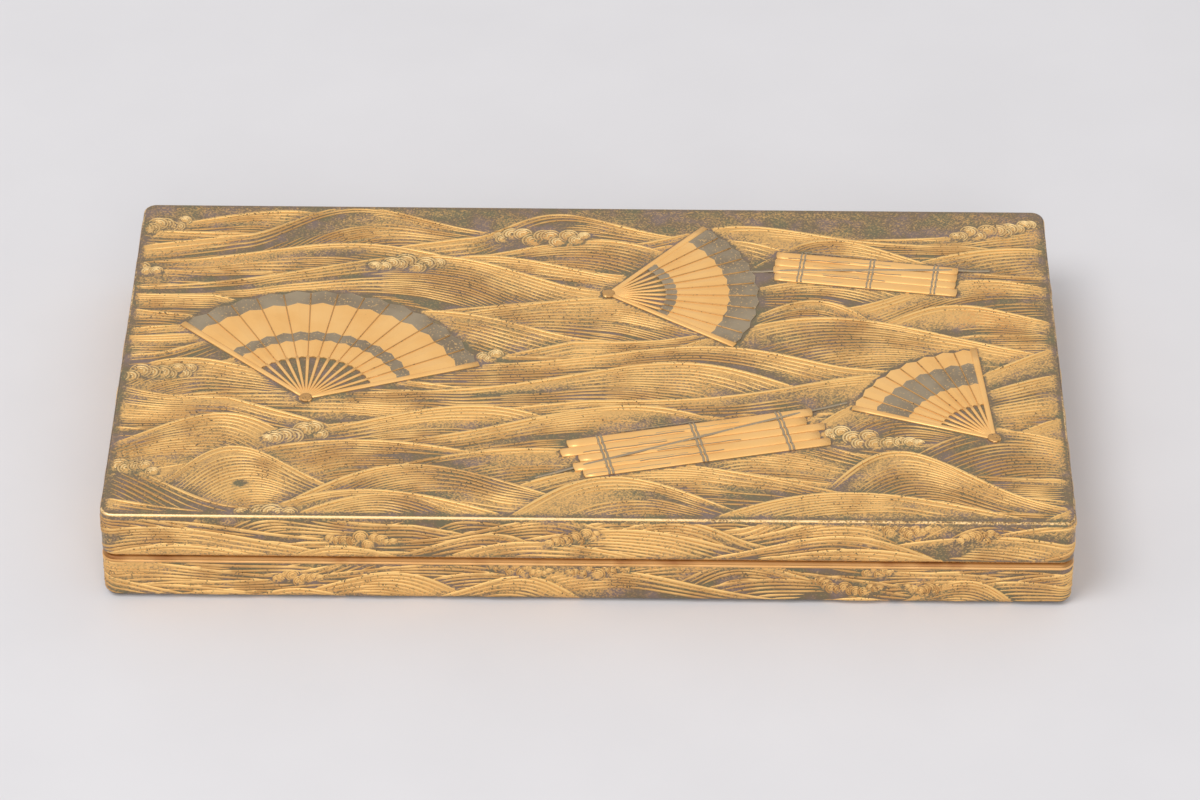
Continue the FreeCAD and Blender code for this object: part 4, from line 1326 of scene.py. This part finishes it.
def tuft(name, node, material, body, seed):
    """A brush's hair: strands combed to a point over a solid core, in place of the CAD's."""
    low, high, axis = corners(node)
    length = high.x - low.x
    belly = 0.5 * (high.y - low.y)
    chance = np.random.default_rng(seed)

    def radius(share):
        swell = 0.78 + 0.21 * np.sin(math.pi * share**0.8)
        return belly * swell * np.maximum(1 - share**3.4, 0) ** 0.9 + 0.05

    lines = []
    share = np.linspace(0.02, 1, 11)
    for _ in range(TUFT_HAIRS):
        turn = chance.uniform(0, 2 * math.pi)
        depth = chance.uniform(0.86, 0.985)
        reach = chance.uniform(0.93, 1.0)
        twist = turn + chance.uniform(-0.14, 0.14) * share
        out = np.stack([0 * share, np.cos(twist), np.sin(twist)], axis=1)
        points = np.array([0, axis.y, axis.z]) + out * (depth * radius(share))[:, None]
        points[:, 0] = low.x + share * reach * length
        lines.append(even_line(points, out, HAIR_WIDTH * (1.1 - share)))
    strands = raise_lines(name, lines, material, body)
    turns = np.linspace(0, 2 * math.pi, CORE_SIDES + 1)[:-1]
    turn, along = np.meshgrid(turns, np.linspace(0, 0.985, 14))
    size = 0.93 * radius(along)
    x = low.x + along * length
    core = np.stack([x, axis.y + size * np.cos(turn), axis.z + size * np.sin(turn)], -1)
    ids = np.arange(turn.size).reshape(turn.shape)
    after = np.roll(ids, -1, 1)
    faces = np.stack([ids[:-1], after[:-1], after[1:], ids[1:]], -1).reshape(-1, 4).tolist()
    faces += [ids[0].tolist(), ids[-1].tolist()]
    wad = new_object(name + "_core", core.reshape(-1, 3), faces, [material], body)
    face_out(wad)
    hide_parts(node)


inside = finish("nashiji_lacquer", flake_lacquer, "#6B3F1C", "#DDA750", 0.42)
dense_inside = finish("dense_nashiji_lacquer", flake_lacquer, "#7A4A20", "#E3B05C", 0.62)
bronze = finish("patinated_bronze", patinated_bronze)
shaft_lacquer = finish("black_lacquer_with_gold", black_lacquer_with_gold)
hair = finish("goat_hair", goat_hair)
brass = finish("gilt_brass", gilt_brass)
finishes = {
    "fitted_board": dense_inside,
    "first_rest": dense_inside,
    "second_rest": dense_inside,
    "inkstone": finish("ground_slate", ground_slate),
    "dropper_shell": bronze,
    "dropper_plate": bronze,
    "knife_handle": shaft_lacquer,
    "knife_collar": brass,
    "knife_blade": finish("ground_steel", ground_steel),
    "ink_stick": finish("pressed_ink", pressed_ink),
}
for size in ("large", "small"):
    finishes[f"{size}_brush_shaft"] = shaft_lacquer
    finishes[f"{size}_brush_cap"] = shaft_lacquer
    finishes[f"{size}_brush_tuft"] = hair
for name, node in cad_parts.items():
    node.data.materials.clear()
    node.data.materials.append(finishes.get(name, inside))

# Gilt lines on the fitted board, round the inkstone and round the dropper
board_top = corners("fitted_board")[1].z - LINE_SINK
stone_low, stone_high, _ = corners("inkstone")
shell_low, shell_high, shell_middle = corners("dropper_shell")
around_stone = (stone_low.x - 2, stone_low.y - 2), (stone_high.x + 2, stone_high.y + 2)
around_shell = 0.5 * (shell_high.x - shell_low.x) + 2.2
gilding = [
    frame_line(*around_stone, 4.5, board_top, BOARD_LINE),
    ring_line((*shell_middle.xy, board_top), around_shell, BOARD_LINE, 72),
]
raise_lines("board_gilding", gilding, rim_gold, "board")

# Gilt rings on the brushes and their caps, in pairs near the ends and where the two meet
for size in ("large", "small"):
    shaft_low, shaft_high, _ = corners(f"{size}_brush_shaft")
    cap_low, cap_high, axis = corners(f"{size}_brush_cap")
    around = 0.5 * (shaft_high.z - shaft_low.z) - LINE_SINK
    on_shaft = (shaft_low.x + 12, shaft_low.x + 13.2, cap_low.x - 3, cap_low.x - 1.8)
    on_cap = (cap_low.x + 1.4, cap_high.x - 6, cap_high.x - 4.8)
    for part, body, places in (("brush", "brush", on_shaft), ("cap", "brush_cap", on_cap)):
        rings = [ring_line((x, axis.y, axis.z), around, BRUSH_RING, upright=True) for x in places]
        raise_lines(f"{size}_{part}_rings", rings, brass, f"{size}_{body}")

tuft("large_tuft_hair", "large_brush_tuft", hair, "large_brush", 2)
tuft("small_tuft_hair", "small_brush_tuft", hair, "small_brush", 3)

# The ink stick's gilt frame and blossom, as its mould left them
ink_low, ink_high, ink_middle = corners("ink_stick")
ink_top = ink_high.z - LINE_SINK
blossom_x = ink_high.x - 11
ink_face = (ink_low.x + 8, ink_low.y + 1.6), (ink_high.x - 2, ink_high.y - 1.6)
ink_marks = [frame_line(*ink_face, 1.2, ink_top, INK_FRAME_LINE)]
for petal in range(5):
    turn = 2 * math.pi * petal / 5
    at = (blossom_x + 1.35 * math.cos(turn), ink_middle.y + 1.35 * math.sin(turn), ink_top)
    ink_marks.append(ring_line(at, 0.8, PETAL_LINE, 14))
ink_marks.append(ring_line((blossom_x, ink_middle.y, ink_top), 0.4, PETAL_LINE, 10))
raise_lines("ink_stick_gilding", ink_marks, rim_gold, "ink_stick")

# Three stamens to each of the dropper's five petals, round the boss
stamens = []
shoulder = shell_high.z - 0.8 - LINE_SINK
for number in range(15):
    turn = 2 * math.pi * (number + 0.5) / 15
    reach = np.linspace(3.6, 6.4 if number % 3 == 1 else 5.2, 8)
    x = shell_middle.x + reach * math.cos(turn)
    y = shell_middle.y + reach * math.sin(turn)
    points = np.stack([x, y, 0 * reach + shoulder], axis=1)
    stamens.append(even_line(points, UP, STAMEN_LINE))
    stamens.append(ring_line(points[-1], 0.28, ANTHER_LINE, 10))
raise_lines("dropper_stamens", stamens, bronze, "dropper")


# The floor, the light and the camera


def pale_board(tree, where):
    """Matt card under the box, a little uneven in tone."""
    cloud = add(tree, NOISE, sized(where, 40, 3.0))
    tone = add(tree, RAMP, [cloud], stops=[(0.3, "#DAD8DA"), (0.7, "#DDDBDD")])
    return {"Base Color": tone, "Roughness": 0.9}


def lamp(name, place, size, power):
    """A round softbox of a width in metres and a power in watts, turned to the box."""
    light = bpy.data.lights.new(name, "AREA")
    light.shape = "DISK"
    light.size = size
    light.energy = power
    holder = bpy.data.objects.new(name, light)
    bpy.context.scene.collection.objects.link(holder)
    holder.location = place
    holder.rotation_euler = (-Vector(place)).to_track_quat("-Z", "Y").to_euler()


PICTURE_WIDTH = 1200
FOCAL_LENGTH_IN_PIXELS = 4765
SENSOR_WIDTH = 36
CAMERA_DISTANCE = 1.106
CAMERA_ANGLES = (0.37, 37.32, 0.29)
CAMERA_AIM = (0.0023, -0.0167, TOP * MM)


def set_camera():
    """A long lens from the front and above, framed for a picture of 1200 by 800."""
    azimuth, elevation, roll = (math.radians(angle) for angle in CAMERA_ANGLES)
    sideways = math.sin(azimuth) * math.cos(elevation)
    back = Vector((sideways, -math.cos(azimuth) * math.cos(elevation), math.sin(elevation)))
    right = Vector((math.cos(azimuth), math.sin(azimuth), 0))
    up = back.cross(right)
    tilted_right = math.cos(roll) * right + math.sin(roll) * up
    tilted_up = math.cos(roll) * up - math.sin(roll) * right
    view = bpy.data.cameras.new("camera")
    view.sensor_width = SENSOR_WIDTH
    view.lens = SENSOR_WIDTH * FOCAL_LENGTH_IN_PIXELS / PICTURE_WIDTH
    view.clip_end = 20
    holder = bpy.data.objects.new("camera", view)
    bpy.context.scene.collection.objects.link(holder)
    turn = Matrix((tilted_right, tilted_up, back)).transposed()
    place = Vector(CAMERA_AIM) + back * CAMERA_DISTANCE
    holder.matrix_world = Matrix.Translation(place) @ turn.to_4x4()
    bpy.context.scene.camera = holder


def set_world():
    world = bpy.data.worlds.new("studio")
    world.use_nodes = True
    bpy.context.scene.world = world
    tree = world.node_tree
    fill(tree, tree.nodes["Background"], {"Color": "#F3F3F4", "Strength": SKY_STRENGTH})


sides = [(-1, -1, 0), (1, -1, 0), (1, 1, 0), (-1, 1, 0)]
card = finish("pale_board", pale_board)
places = np.multiply(sides, FLOOR_HALF_WIDTH)
floor = new_object("floor", places, [(0, 1, 2, 3)], [card], None, smooth=False)
set_world()
lamp("window", (-1.1, -0.9, 2.4), 1.4, 31)
lamp("reflector", (0.35, -2.3, 1.3), 1.4, 15)
set_camera()
bpy.context.scene.view_settings.view_transform = "Standard"
